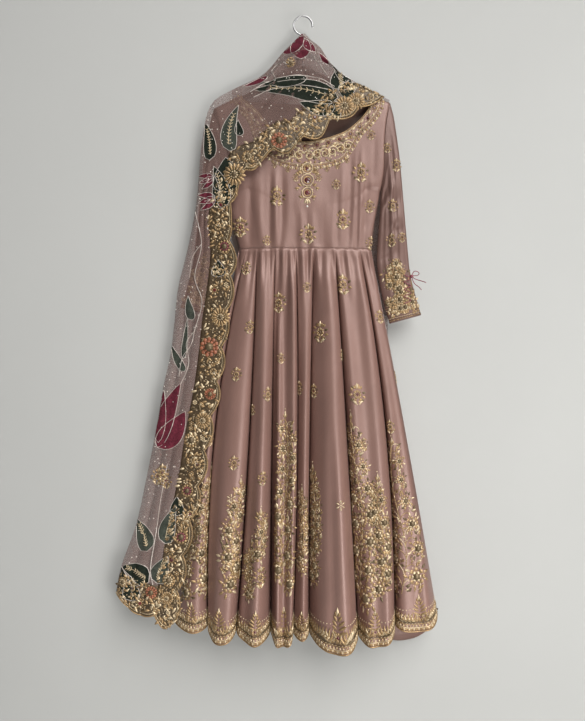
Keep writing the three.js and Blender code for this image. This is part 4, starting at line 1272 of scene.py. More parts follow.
def sprig(seed=0):
    """A close upright medallion, 50 high: a flower in a round of leaves, with curled feet and a bud."""
    rng = np.random.default_rng(seed)
    made = []
    for i in range(11):
        angle = 17 + 360 / 11 * i
        a = radians(angle)
        finish = "dull" if i % 3 == 0 else "gold"
        made.append(
            blade("leaf", finish, 13 * cos(a), 15 * sin(a) - 1, angle + rng.uniform(-30, 30), 11, 6.0, 1.4)
        )
    made += moved(flower(7, 11.5, 3.4, "gold", "ruby" if rng.random() < 0.4 else "dull", high=2.2), 0, -1)
    made += bead_ring(7, 8.5, 64, 1.5, high=2.6, lift=-1)
    for side in (-1, 1):
        curl = [
            (side * (2 + 11 * sin(2.6 * t)), -25 + 12 * t + 3 * sin(5 * t)) for t in np.linspace(0, 1, 9)
        ]
        made.append(("cord", "pale", curl, 2.4, 1.6))
        for v, lean, long in ((-23, 48, 13), (-15, 66, 11), (13, 62, 10)):
            made.append(
                blade("leaf", "pale" if v < -20 else "gold", side * 3, v, 90 - side * lean, long, 5.8, 2.2)
            )
    for lean, long in ((-26, 11), (0, 15), (26, 11)):
        made.append(blade("leaf", "gold" if lean else "pale", lean * 0.08, 12, 90 - lean, long, 6.2, 2.2))
    return made


def star_spray():
    return flower(6, 12, 2.4, "pale", "pale", wide=3.4) + bead_ring(6, 9.5, 120, 1.3, "gold")


def rose():
    """A fuller flower: two rounds of petals about a stone."""
    made = flower(8, 15, 8, "gold", "dull", high=1.6)
    made += flower(6, 9.5, 3.4, "pale", "ruby", 60, high=2.6)
    return made + bead_ring(8, 16, 112.5, 1.2)


def scroll(side, reach, lift, finish="gold"):
    """A curled branch that leaves the stem to one side."""
    path = []
    for t in np.linspace(0, 1, 10):
        turn = t * 1.25 * pi
        r = reach * 0.5 * (1 - 0.45 * t)
        path.append((side * (reach * 0.5 - r * cos(turn)), lift * 0.55 * t + r * sin(turn)))
    return ("cord", finish, path, 2.0, 1.4)


def leaf_round(radius, count, long, rng):
    """Loose leaves that stand out round a flower."""
    made = []
    for i in range(count):
        angle = 360 * (i + rng.uniform(0, 0.6)) / count
        a = radians(angle)
        finish = any_of(rng, "gold", "gold", "pale", "dull")
        lean = angle + rng.uniform(-35, 35)
        made.append(blade("leaf", finish, radius * cos(a), radius * sin(a), lean, long, long * 0.42))
    return made


def vine(high, wide, seed):
    """A tall spray: flowers on both sides of a winding stem among scrolls and leaves, up to a bud."""
    rng = np.random.default_rng(seed)

    def stem(v):
        return wide * 0.12 * sin(v / high * 6.5 + seed)

    made = [("cord", "gold", [(stem(v), v) for v in np.linspace(0, high, 40)], 2.2, 1.5)]
    v, side = 8.0, 1 if seed % 2 else -1
    while v < high - 16:
        taper = 0.4 + 0.6 * (1 - v / high) ** 0.6
        radius = min(20.0, wide * 0.34) * taper * rng.uniform(0.9, 1.15)
        reach = max(0.0, wide / 2 - radius) * taper
        u = stem(v) + side * reach
        if radius > 11:
            made += moved(rose(), u, v, radius / 15)
        else:
            made += moved(flower(7, radius, radius * 0.3, "gold", "pale"), u, v)
        made += moved(leaf_round(radius, 9, max(9.0, radius * 0.75), rng), u, v)
        far = -side * wide / 2 * taper
        made += moved([scroll(-side, abs(far) * 1.1, 16, "pale")], stem(v), v + 4)
        made += moved([scroll(side, abs(far) * 0.7, 13)], stem(v), v + 12)
        for _ in range(7):
            at = rng.uniform(0.1, 1.0)
            finish = any_of(rng, "gold", "gold", "pale", "dull")
            lean = 90 + side * rng.uniform(-15, 85)
            high_up = v + rng.uniform(-9, 15)
            made.append(blade("leaf", finish, stem(v) + far * at, high_up, lean, rng.uniform(9, 14), 5.2))
        for _ in range(5):
            at = rng.uniform(-1.05, 1.05)
            made.append(dot(stem(v) + abs(far) * at, v + rng.uniform(-14, 18), rng.uniform(1.0, 1.8)))
        side = -side
        v += radius * 1.25 + 7
    for lean, long in ((-30, 11), (0, 17), (30, 11)):
        made.append(blade("leaf", "gold" if lean else "pale", stem(high), high - 2, 90 - lean, long, 5.4))
    made.append(dot(stem(high), high + 18, 1.7))
    return made


def crown(high, wide):
    """A pointed crest of paired leaves over a flower, with curls and a garland that sinks to both sides."""
    made = []
    k = high / 70  # the crest is drawn 70 high
    for v, lean, long in ((20, 74, 22), (27, 60, 22), (34, 48, 20), (43, 36, 15), (52, 26, 11)):
        for side in (-1, 1):
            made.append(
                blade("leaf", "gold", side * 1.5 * k, v * k, 90 - side * lean, long * k, 6.0 * k, 2.2)
            )
    made.append(blade("leaf", "pale", 0, 54 * k, 90, 17 * k, 6.0 * k, 2.4))
    made += moved(flower(8, 10 * k, 3 * k, "gold", "ruby"), 0, 13 * k)
    for side in (-1, 1):
        curl = []
        for t in np.linspace(0, 1, 14):
            turn = 1.4 + 4.2 * t
            curl.append(
                (side * (17 - 9 * t) * k * sin(turn) + side * 17 * k, (17 + (16 - 9 * t) * cos(turn)) * k)
            )
        made.append(("cord", "pale", curl, 2.4, 1.8))
        count = max(2, int((wide / 2 - 8 * k) / 8.5))
        for i in range(count):
            t = (i + 1) / (count + 0.4)
            u = side * lerp(8 * k, wide / 2, t)
            tall = (34 - 15 * t) * k
            for lean, share, finish in (
                (-10, 1.0, "gold"), (24, 0.8, "pale"), (56, 0.62, "dull"), (-40, 0.6, "gold")
            ):
                made.append(blade("leaf", finish, u, 0, 90 - side * lean, tall * share, 5.4 * k, 2.0))
            made.append(dot(u, tall + 3 * k, 1.6, "pale"))
    return made


BUTI_SIZES = {"L": 0.98, "m": 0.66, "s": 0.52}
BODICE_BUTIS = (
    (165, -293, "s"), (140, -385, "L"), (80, -415, "s"), (-63, -444, "L"), (162, -466, "m"),
    (96, -500, "L"), (12, -536, "L"), (-87, -551, "s"), (166, -555, "m"), (-153, -517, "L"),
)
SLEEVE_BUTIS = (
    (227, -366, "m"), (218, -465, "m"), (214, -550, "m"), (205, -324, "s"), (240, -542, "s"),
    (-222, -400, "m"), (-226, -500, "m"), (-232, -590, "m"),
)
SKIRT_BUTIS = (
    (-138, -617, "m"), (9, -665, "s"), (96, -658, "L"), (-60, -701, "L"), (-127, -761, "m"),
    (40, -773, "L"), (186, -735, "m"), (92, -828, "s"), (-53, -836, "s"), (-160, -874, "m"),
    (25, -914, "m"), (-10, -907, "m"), (-84, -921, "m"), (128, -921, "L"), (-122, -959, "s"),
    (143, -1037, "s"), (207, -1000, "m"), (-164, -1083, "m"), (-95, -1118, "m"), (-99, -1345, "L"),
    (-216, -900, "m"), (-228, -760, "s"), (-222, -1030, "m"), (232, -880, "m"),
)
SKIRT_STARS = ((-170, -1167), (86, -1177), (161, -1174), (-8, -1160))
BUTIS_BEHIND = ((4, -300, "m"), (-72, -330, "L"), (76, -352, "m"), (-150, -268, "m"), (150, -262, "s"))
# Tall sprays of the skirt: foot, height, width and a seed.
SKIRT_VINES = (
    (-46, -1372, 380, 74, 3), (25, -1362, 250, 46, 4), (139, -1405, 410, 84, 5),
    (236, -1395, 350, 104, 6), (-234, -1402, 290, 70, 7), (-168, -1372, 230, 60, 8),
    (-286, -1402, 200, 50, 9), (-98, -1300, 96, 44, 10), (-4, -1340, 180, 34, 11),
    (186, -1380, 250, 56, 12), (-130, -1395, 120, 34, 14),
)

butis = Needlework(KAMEEZ)
for i, (x, z, size) in enumerate(BODICE_BUTIS + SLEEVE_BUTIS):
    sew(butis, moved(sprig(i), size=BUTI_SIZES[size]), flat_place(x, z))
for i, (x, z, size) in enumerate(SKIRT_BUTIS):
    sew(butis, moved(sprig(40 + i), size=BUTI_SIZES[size]), skirt_place(x, z))
for x, z in SKIRT_STARS:
    sew(butis, star_spray(), skirt_place(x, z))
butis.make("scattered_sprigs", "satin")

sprays = Needlework(KAMEEZ)
for x, z, high, wide, seed in SKIRT_VINES:
    sew(sprays, vine(high, wide, seed), skirt_place(x, z))
sprays.make("tall_sprays", "satin")


# ---------------------------------------------------------------- hem band
def hem_band(work, spot, total, crests):
    """A close beaded band along a hem, a garland of leaves above it, and a crest on each kali."""
    for up, wide, finish in (
        (1.8, 3.0, "gold"), (11.0, 2.0, "pale"), (19.0, 2.2, "gold"), (22.0, 1.6, "dull")
    ):
        work.cord(finish, [spot(at, 0, up) for at in np.arange(0, total, 3.0)], wide, 1.8)
    for i, at in enumerate(np.arange(2, total, 4.0)):
        work.stitch("petal", "gold" if i % 3 else "pale", *spot(at, 0, 3.4), 90, 6.6, 4.4, 2.0)
        work.stitch("leaf", "pale" if i % 3 else "gold", *spot(at, 0, 12), 60 if i % 2 else 120, 7, 3.8, 2.0)
        if i % 2:
            work.stitch("bead", "pale", *spot(at, 0, 20.5), 0, 1.6, 1.6, 1.6)
    for i, at in enumerate(np.arange(6, total, 11.0)):
        lean = 14 * sin(i * 2.4)
        leaves = [
            blade("leaf", "gold", 0, 23, 90 + lean, 13, 5.6, 2.2),
            blade("leaf", "dull", -2, 23, 132, 9, 4.4),
            blade("leaf", "gold", 2, 23, 48, 9, 4.4),
            dot(0, 38, 1.6),
            dot(5.5, 29, 1.4),
        ]
        sew(work, leaves, lambda u, v, at=at: spot(at, u, v))
    for middle, wide, high in crests:
        sew(work, crown(high, wide), lambda u, v, middle=middle: spot(middle, u, v + 22))


def front_hem_spot(at, u, v):
    return skirt_spot(float(np.interp(at, SKIRT_ARC[-1], SKIRT_Q)), 1.0, u, v)


CREST_HEIGHTS = (50, 60, 58, 66, 46, 80, 62, 64)
seams_at = np.interp(np.arange(9), SKIRT_Q, SKIRT_ARC[-1])
middles = np.interp(np.arange(8) + 0.5, SKIRT_Q, SKIRT_ARC[-1])
hem = Needlework(KAMEEZ)
hem_band(hem, front_hem_spot, SKIRT_ARC[-1, -1], list(zip(middles, np.diff(seams_at) * 0.86, CREST_HEIGHTS)))
hem.make("hem_embroidery", "satin")


# ---------------------------------------------------------------- embroidery behind
def turned(grid):
    """A grid turned half round the upright axis, so that what is behind comes to the front."""
    return grid * (-1, -1, 1)


HEM_BEHIND = turned(skirt_back_grid[-1])[::-1]
HEM_ARC = lengths_along(HEM_BEHIND[:, :2])


def back_hem_spot(at, u, v):
    if not 0 <= at + u <= HEM_ARC[-1]:
        return None
    x, z = (float(np.interp(at + u, HEM_ARC, HEM_BEHIND[:, axis])) for axis in (0, 2))
    return x, z + v


behind_grids = [skirt_back_grid, bodice_back_grid, *sleeve_grids.values()]
behind_work = Needlework(surface(*map(turned, behind_grids)))
wide_behind = HEM_ARC[-1] / len(BACK_KALIS)
crests_behind = [((k + 0.5) * wide_behind, wide_behind * 0.86, 62) for k in range(len(BACK_KALIS))]
hem_band(behind_work, back_hem_spot, HEM_ARC[-1], crests_behind)
for k, (middle, _, _) in enumerate(crests_behind):
    x, z = back_hem_spot(middle, 0, 118)
    sew(behind_work, vine(250 if k % 2 else 190, 42, 20 + k), flat_place(x * 0.92, z))
for i, (x, z, size) in enumerate(BODICE_BUTIS + SLEEVE_BUTIS + SKIRT_BUTIS[:18] + BUTIS_BEHIND):
    sew(behind_work, moved(sprig(80 + i), size=BUTI_SIZES[size]), flat_place(x, z))
behind_work.make("embroidery_behind", "satin", turn=True)


# ---------------------------------------------------------------- neck and cuffs
PENDANT_X = 10
YOKE_NARROW = 24
YOKE_DEEP = 62


def neck_work(work):
    """A band round the neck, set with stones, a deeper yoke below it, and a pendant."""
    x, z, seam = neck_line(FRONT_NECK, 12)
    x, z = x[~seam], z[~seam]
    path = np.stack([x, z], 1)
    length = lengths_along(path)
    ahead = np.gradient(path, axis=0)
    ahead /= np.linalg.norm(ahead, axis=1)[:, None]
    away = np.stack([ahead[:, 1], -ahead[:, 0]], 1)

    def along(at, off):
        p = [np.interp(at, length, path[:, i]) + off * np.interp(at, length, away[:, i]) for i in (0, 1)]
        return float(p[0]), float(p[1])

    def heading(at):
        return float(np.degrees(np.arctan2(*[np.interp(at, length, ahead[:, i]) for i in (1, 0)])))

    def depth(at):
        """Depth of the yoke under the neck's edge: a narrow band at the shoulders, deepest at the front."""
        x_here = along(at, 0)[0]
        return lerp(YOKE_NARROW, YOKE_DEEP, float(smooth(x_here, -120, -40) * smooth(-x_here, -128, -66)))

    steps = np.arange(3, length[-1] - 3, 3.0)
    for off, wide, finish in ((1.6, 2.6, "gold"), (4.8, 1.6, "pale")):
        work.cord(finish, [along(at, off) for at in steps], wide, 1.6)
    for inset, wide, finish in ((0, 2.2, "gold"), (4, 1.4, "pale")):
        work.cord(finish, [along(at, depth(at) - inset) for at in steps], wide, 1.6)
    for at in np.arange(14, length[-1] - 8, 27.0):
        sew(work, ring_flower(10.0), flat_place(*along(at, 13)))
        for side in (-1, 1):
            for off, lean in ((8.5, 24), (17.0, -24)):
                angle = heading(at) + (0 if side > 0 else 180) + side * lean * 0.6
                work.stitch("leaf", "pale", *along(at + side * 9.5, off), angle, 11, 5.4, 2.2)
    for i, at in enumerate(np.arange(5, length[-1] - 5, 6.4)):
        work.stitch(
            "petal", "gold" if i % 2 else "pale", *along(at, depth(at) + 1), heading(at) - 90, 9.5, 6.0, 2.2
        )
        work.stitch("bead", "pale", *along(at + 3.2, depth(at) + 7), 0, 1.5, 1.5, 1.4)
    rng = np.random.default_rng(21)
    for i, at in enumerate(np.arange(6, length[-1] - 6, 17.0)):
        low = depth(at)
        if low < 40:
            continue
        turn = 1 if i % 2 else -1
        centre = along(at, 36)
        curl = [
            (
                centre[0] + turn * (13 - 9 * t) * cos(2.5 * pi * t + 0.4),
                centre[1] + (13 - 9 * t) * sin(2.5 * pi * t + 0.4),
            )
            for t in np.linspace(0, 1, 26)
        ]
        work.cord("pale", curl, 3.0, 2.6)
        sew(work, flower(6, 7.0, 2.4, "gold", "ruby", high=2.4), flat_place(*centre))
    for at in np.arange(4, length[-1] - 4, 7.2):
        for off in np.arange(21, depth(at) - 3, 7.0):
            x_leaf, z_leaf = along(at + rng.uniform(-2, 2), off + rng.uniform(-2, 2))
            finish = any_of(rng, "gold", "gold", "pale", "dull")
            if rng.random() < 0.75:
                work.stitch(
                    "leaf", finish, x_leaf, z_leaf, rng.uniform(0, 360), rng.uniform(9, 12), 5.2, 2.2
                )
            else:
                work.stitch("bead", "pale", x_leaf, z_leaf, 0, 2.2, 2.2, 2.0)
    for at in np.arange(10, length[-1] - 8, 21.0):
        if depth(at) > 50:
            spot = along(at, depth(at) + 12)
            sew(work, moved(sprig(int(at)), size=0.34, turn=180), flat_place(*spot))
    for z_stone, size in ((-376, 15), (-405, 17), (-436, 15)):
        sew(work, ring_flower(size), flat_place(PENDANT_X, z_stone))
        turns, reach = np.linspace(0, 2 * pi, 25), size * 0.86
        oval = [(PENDANT_X + reach * cos(a), z_stone + reach * sin(a)) for a in turns]
        work.cord("pale", oval, 2.6, 2.4)
    for side in (-1, 1):
        for reach, z_leaf, lean in (
            (13, -388, 70), (20, -394, 40), (13, -420, 60), (18, -424, 96), (10, -448, 70)
        ):
            work.stitch("leaf", "gold", PENDANT_X + side * reach, z_leaf, 90 - side * lean, 13, 6.2, 2.2)
            work.stitch("bead", "pale", PENDANT_X + side * (reach + 6), z_leaf - 5, 0, 1.8, 1.8, 1.8)
        sew(work, moved(sprig(3), size=0.42), flat_place(PENDANT_X + side * 27, -398))
        sew(work, moved(sprig(5), size=0.32), flat_place(PENDANT_X + side * 17, -380))
    for angle in (-58, -90, -122):
        work.stitch("leaf", "pale", PENDANT_X, -450, angle, 15, 6.4, 2.2)
    work.stitch("bead", "pearl", PENDANT_X, -469, 0, 2.8, 2.8, 2.4)


def cuff_work(work, side):
    """Flowers and leaves that grow thicker towards the cuff, and a close band along its edge."""
    rng = np.random.default_rng(31 if side == "right" else 32)
    rings = sleeve_grids[side]
    rows, columns = rings.shape[:2]

    def spot(ring, across):
        r = ring / len(SLEEVE) * (rows - 1)
        a = np.arccos(1 - 2 * across) / (2 * pi) * (columns - 1)
        p = rings[min(rows - 1, int(round(r))), min(columns - 1, int(round(a)))]
        return float(p[0]), float(p[2])

    for i in range(46):
        depth = ((i + rng.random()) / 46) ** 0.7
        x, z = spot(7.3 + 3.2 * depth, rng.uniform(0.42 - 0.36 * depth**0.5, 0.66 + 0.28 * depth))
        kind = rng.random()
        if kind < 0.3:
            sew(work, flower(6, 10, 3.0, "gold", "dull", high=2.2), flat_place(x, z))
        elif kind < 0.5:
            sew(work, moved(rose(), size=0.85), flat_place(x, z))
        else:
            design = moved(sprig(int(rng.integers(90))), size=0.44, turn=rng.uniform(-40, 40))
            sew(work, design, flat_place(x, z))
        for _ in range(3):
            x_leaf, z_leaf = x + rng.uniform(-15, 15), z + rng.uniform(-14, 14)
            finish = any_of(rng, "gold", "pale", "dull")
            work.stitch("leaf", finish, x_leaf, z_leaf, rng.uniform(0, 360), 11, 5.2, 1.8)
    for ring, finish, wide in ((10.15, "gold", 1.8), (10.88, "gold", 2.4), (10.78, "pale", 1.4)):
        work.cord(finish, [spot(ring, a) for a in np.linspace(0.01, 0.99, 44)], wide, 1.5)
    for i, a in enumerate(np.linspace(0.03, 0.97, 24)):
        x, z = spot(10.5, a)
        work.stitch("leaf", "gold" if i % 2 else "pale", x, z, 60 if i % 2 else 120, 11, 5.4, 2.0)
        x, z = spot(10.3, a)
        work.stitch("bead", "pale", x, z, 0, 1.4, 1.4, 1.3)


trims = Needlework(KAMEEZ)
neck_work(trims)
cuff_work(trims, "right")
cuff_work(trims, "left")
for x, z in ((CUFF_SLIT["x"] - 22, -668), (CUFF_SLIT["x"] - 26, -640), (CUFF_SLIT["x"] - 18, -694)):
    sew(trims, moved(rose(), size=0.95), flat_place(x, z))
for path_x in (-7.5, 7.5):
    edge = [
        (
            CUFF_SLIT["x"] + path_x * sin(pi * t) ** 0.7 + 0.4 * path_x,
            lerp(CUFF_SLIT["top"], CUFF_SLIT["bottom"], t),
        )
        for t in np.linspace(0, 1, 24)
    ]
    trims.cord("gold", edge, 2.0, 1.6)
trims.make("neck_and_cuff_embroidery", "satin")


# ---------------------------------------------------------------- dupatta border
def edge_spot(length, off):
    """The place at a length along the scalloped edge and a distance in from it."""
    row = row_at(length)
    p = dupatta_point(row, 1 - off / dupatta_width(row))
    return float(p[0]), float(p[2])


def edge_heading(length):
    a, b = edge_spot(length - 2, 40), edge_spot(length + 2, 40)
    return float(np.degrees(np.arctan2(b[1] - a[1], b[0] - a[0])))


def ray_flower(radius):
    made = flower(15, radius, radius * 0.3, "gold", "dull", wide=radius * 0.26, high=2.6)
    made += flower(8, radius * 0.36, radius * 0.12, "pale", "pale", 80, high=3.4)
    return made + bead_ring(15, radius * 0.8, 102, 1.3)


def layered_flower(radius, outer, inner, stone):
    made = flower(11, radius, radius * 0.55, outer, "dull", high=2.2)
    made += flower(9, radius * 0.68, radius * 0.3, inner, "dull", 100, high=3.0)
    made.append(("gem", stone, 0, 0, 0, radius * 0.27, radius * 0.27, 3.6))
    return made + bead_ring(11, radius * 0.98, 106, 1.3, "gold")


def stone_cluster(radius, stone):
    made = [
        ("gem", stone, 0, 0, 0, radius * 0.5, radius * 0.5, 3.4),
        ("ring", "gold", 0, 0, 0, radius * 0.66, radius * 0.66, 1.6),
    ]
    reach = radius * 0.7
    for i in range(9):
        a = radians(40 * i)
        finish = "pale" if i % 2 else "gold"
        made.append(blade("leaf", finish, reach * cos(a), reach * sin(a), 40 * i, reach, 4.4, 2))
    return made


# Large flowers of the border: place, kind and radius.
BORDER_FLOWERS = (
    (128, -213, "ray", 24), (100, -226, "ray", 27), (28, -256, "ruby", 11), (-58, -314, "orange", 20),
    (66, -262, "leafy", 15), (-16, -286, "leafy", 17), (-100, -330, "leafy", 16),
    (-133, -352, "gold", 15), (-166, -395, "ray", 29), (-199, -467, "ruby", 10), (-190, -567, "wine", 17),
    (-206, -520, "leafy", 17), (-214, -672, "ruby", 9), (-199, -628, "leafy", 17),
    (-199, -737, "ray", 25), (-226, -809, "orange", 24), (-216, -868, "leafy", 17),
    (-223, -922, "orange", 14), (-240, -985, "ray", 21), (-268, -1032, "gold", 18),
    (-252, -1090, "leafy", 17), (-276, -1151, "wine", 15), (-268, -1205, "leafy", 17),
    (-289, -1259, "wine", 17), (-312, -1312, "ruby", 12), (-318, -1360, "gold", 16),
    (-360, -1390, "orange", 15), (-408, -1385, "leafy", 16), (-322, -1402, "ray", 17),
    (-388, -1418, "ruby", 9), (-432, -1372, "gold", 12), (166, -205, "leafy", 12),
)


def border_design(kind, radius, seed):
    if kind == "ray":
        return ray_flower(radius)
    if kind == "orange":
        return layered_flower(radius, "orange", "orange", "ruby")
    if kind == "wine":
        return layered_flower(radius, "gold", "wine", "ruby")
    if kind == "gold":
        return layered_flower(radius, "gold", "pale", "ruby")
    if kind == "ruby":
        return stone_cluster(radius, "ruby")
    return moved(
        sprig(seed) + moved(flower(6, 8, 2, "pale", "pearl"), 0, -6), size=radius / 20, turn=seed * 47 % 360
    )


def border_work(work):
    rng = np.random.default_rng(12)
    centres = np.array([(x, z) for x, z, _, _ in BORDER_FLOWERS], float)
    radii = np.array([r for _, _, _, r in BORDER_FLOWERS], float)
    for i, (x, z, kind, radius) in enumerate(BORDER_FLOWERS):
        sew(work, border_design(kind, radius, i), flat_place(x, z))

    def crowded(x, z, room):
        near = np.hypot(centres[:, 0] - x, centres[:, 1] - z)
        return bool((near < radii * 0.92 + room).any())

    for length in np.arange(4, EDGE_TOTAL - 2, 10.0):
        band = float(dupatta["band"](row_at(length)))
        heading = edge_heading(length)
        for off in np.arange(12, band - 2, 9.4):
            x, z = edge_spot(length + rng.uniform(-3, 3), off + rng.uniform(-2.5, 2.5))
            if crowded(x, z, 2):
                continue
            kind = rng.random()
            finish = any_of(rng, "gold", "gold", "pale", "dull")
            if kind < 0.62:
                lean = heading + rng.choice([-1, 1]) * rng.uniform(15, 80)
                work.stitch("leaf", finish, x, z, lean, rng.uniform(12, 17), rng.uniform(5, 6.6), 2.8)
            elif kind < 0.72:
                sew(work, flower(6, 6.2, 2, finish, "pale"), flat_place(x, z))
            else:
                work.stitch("bead", "pale", x, z, 0, rng.uniform(1.6, 2.4), rng.uniform(1.6, 2.4), 1.8)
            bx, bz = x + rng.uniform(-5.5, 5.5), z + rng.uniform(-5.5, 5.5)
            size = rng.uniform(0.9, 1.5)
            work.stitch("bead", any_of(rng, "gold", "pale", "gold"), bx, bz, 0, size, size, 1.3)
    lengths = np.arange(0.5, EDGE_TOTAL, 2.6)
    for off, wide, finish in ((1.4, 2.8, "gold"), (5.2, 1.6, "dull"), (8.0, 1.4, "pale")):
        work.cord(finish, [edge_spot(at, off) for at in lengths], wide, 1.7)
    for at in np.arange(2, EDGE_TOTAL, 4.4):
        work.stitch("bead", "gold", *edge_spot(at, 3.4), 0, 1.3, 1.3, 1.4)
    end_rows = np.linspace(0.01, 0.99, 130)
    for row, wide, finish in ((LAST_ROW - 0.01, 2.8, "gold"), (LAST_ROW - 0.07, 1.5, "pale")):
        line = dupatta_point(row, end_rows)
        work.cord(finish, line[:, [0, 2]].tolist(), wide, 1.7)
    for across in np.arange(0.02, 0.98, 0.038):
        for row in np.arange(END_BAND_ROW + 0.06, LAST_ROW - 0.08, 0.1):
            p = dupatta_point(row + rng.uniform(-0.03, 0.03), across + rng.uniform(-0.01, 0.01))
            if crowded(p[0], p[2], 1):
                continue
            finish = any_of(rng, "gold", "pale", "dull", "gold")
            work.stitch(
                "leaf", finish, float(p[0]), float(p[2]), rng.uniform(0, 360), rng.uniform(11, 15), 5.6, 2.4
            )
            work.stitch("bead", "pale", float(p[0] + 4), float(p[2] + 3), 0, 1.4, 1.4, 1.4)


border = Needlework(DUPATTA_FRONT)
border_work(border)
border.make("border_embroidery", "border")


# ---------------------------------------------------------------- leaves and tulips sewn on the net
class Patchwork:
    """Flat cloth shapes laid on the net, with a silver thread round each."""

    def __init__(self):
        self.outlines = Needlework(DUPATTA_FRONT)
        self.vertices, self.faces, self.finishes = [], [], []
        self.names = ["green", "leaf_grey", "maroon"]

    def lay(self, finish, x, z, angle, long, wide, bend=0.0, tip=0.55, vein=True):
        """A leaf or petal from its foot at (x, z), drawn out along an angle, and bent sideways."""
        a = radians(angle)
        along = np.linspace(0, 1, 15)
        half = wide / 2 * np.sin(pi * along**tip) ** 0.85
        edges = [[], []]
        grid = []
        for t, h in zip(along, half):
            side = bend * 4 * t * (1 - t)
            row = []
            for share in np.linspace(-1, 1, 7):
                u, v = t * long, side + share * h
                row.append((x + u * cos(a) - v * sin(a), z + u * sin(a) + v * cos(a)))
            edges[0].append(row[0])
            edges[1].append(row[-1])
            grid.append(row)
        start = len(self.vertices)
        kept = {}
        for r, row in enumerate(grid):
            for c, (px, pz) in enumerate(row):
                found = self.outlines.touch(px, pz)
                if found is not None:
                    kept[r, c] = start + len(kept)
                    self.vertices.append(found[0] + found[1] * 0.5)
        for r in range(len(grid) - 1):
            for c in range(6):
                corner = [(r, c), (r + 1, c), (r + 1, c + 1), (r, c + 1)]
                if all(k in kept for k in corner):
                    self.faces.append([kept[k] for k in corner])
                    self.finishes.append(self.names.index(finish))
        for line in edges:
            self.outlines.cord("silver", line, 1.5, 1.3)
        if vein:
            middle = [row[3] for row in grid][2:-3]
            self.outlines.cord("pale", middle, 1.6, 1.6)
            for px, pz in middle:
                for side in (-1, 1):
                    self.outlines.stitch(
                        "leaf", "pale", px, pz, angle + side * 48, min(9.0, wide * 0.22), 2.2, 1.3
                    )

    def tulip(self, x, z, angle, size):
        for lean, long, bend in ((-24, 1.0, -0.07), (24, 1.0, 0.07), (0, 0.94, 0.0)):
            self.lay("maroon", x, z, angle + lean, size * long, size * 0.34, size * bend, 0.7, vein=False)
        a = radians(angle)
        line = [(x + t * size * cos(a), z + t * size * sin(a)) for t in np.linspace(0.1, 0.6, 8)]
        self.outlines.cord("silver", line, 1.4, 1.3)

    def stem(self, path):
        at = np.arange(len(path))
        fine = curve(at, np.array(path, float))(np.linspace(0, len(path) - 1, len(path) * 10))
        self.outlines.cord("silver", fine.tolist(), 1.7, 1.4)

    def make(self):
        made = mesh_object(
            "leaves_and_tulips", self.vertices, self.faces, [FINISHES[n] for n in self.names], self.finishes
        )
        finish_piece(made)
        self.outlines.make("leaf_outlines", "net")


patches = Patchwork()
# Over the hanger.
patches.lay("maroon", -6, -112, 90, 72, 50, tip=0.8, vein=False)
patches.lay("maroon", -48, -92, 40, 66, 36, bend=-4, tip=0.9, vein=False)
patches.lay("maroon", 30, -92, 128, 44, 26, bend=4, tip=0.9, vein=False)
patches.lay("maroon", 62, -124, 130, 44, 12, vein=False)
patches.lay("green", 84, -206, 174, 206, 54, bend=-8)
patches.lay("green", 98, -186, 96, 62, 54, bend=4)
patches.lay("green", 92, -200, 40, 54, 40, bend=3, vein=False)
patches.lay("green", 10, -160, 184, 120, 26, bend=6, vein=False)
patches.lay("maroon", -86, -150, 200, 66, 15, bend=2, vein=False)
patches.lay("green", 76, -232, 172, 86, 40, bend=6, vein=False)
patches.lay("green", 112, -160, 140, 52, 26, bend=3, vein=False)
patches.stem([(-128, -190), (-90, -168), (-46, -158), (0, -154), (44, -162), (76, -178)])
patches.stem([(26, -104), (40, -126), (58, -150)])
patches.stem([(-66, -158), (-76, -136), (-58, -118), (-40, -122)])
patches.stem([(-120, -204), (-70, -186), (-10, -180), (60, -186)])
# Over the left shoulder and down the fall.
patches.lay("leaf_grey", -176, -338, 80, 116, 40, bend=12)
patches.lay("green", -150, -300, 100, 40, 20, bend=3, vein=False)
patches.lay("green", -226, -356, 98, 96, 32, bend=-5)
patches.lay("green", -198, -476, 100, 106, 46, bend=-8)
patches.tulip(-216, -400, 196, 40)
patches.tulip(-212, -450, 192, 46)
patches.stem([(-212, -398), (-202, -430), (-206, -462), (-190, -480)])
patches.stem([(-262, -480), (-246, -560), (-262, -640), (-244, -700), (-262, -770)])
patches.stem([(-246, -560), (-268, -590), (-276, -640)])
patches.lay("leaf_grey", -290, -838, 84, 100, 14, vein=False)
patches.lay("leaf_grey", -268, -744, 100, 60, 22, bend=3, vein=False)
patches.stem([(-300, -880), (-292, -836), (-270, -802), (-262, -770)])
patches.lay("maroon", -352, -1052, 70, 166, 46, bend=7, tip=0.7, vein=False)
patches.lay("maroon", -352, -1052, 52, 112, 56, bend=-7, tip=0.7, vein=False)
patches.lay("maroon", -350, -1040, 84, 126, 36, bend=6, tip=0.8, vein=False)
patches.lay("leaf_grey", -286, -868, 118, 74, 20, bend=3, vein=False)
patches.stem([(-296, -900), (-276, -850), (-282, -800), (-262, -770)])
patches.stem([(-326, -1090), (-342, -1180), (-352, -1260), (-362, -1330), (-356, -1372)])
patches.lay("leaf_grey", -328, -1276, 74, 92, 40, bend=5)
patches.lay("leaf_grey", -372, -1296, 114, 80, 44, bend=-6)
patches.lay("green", -366, -1366, 158, 78, 46, bend=-7)
patches.lay("leaf_grey", -346, -1368, 68, 68, 44, bend=4)
for x, z in ((-338, -1110), (-330, -1128), (-350, -1120)):
    sew(patches.outlines, moved(sprig(7), size=0.8, turn=x % 40 - 20), flat_place(x, z))
sew(patches.outlines, moved(rose(), size=0.8), flat_place(-30, -120))
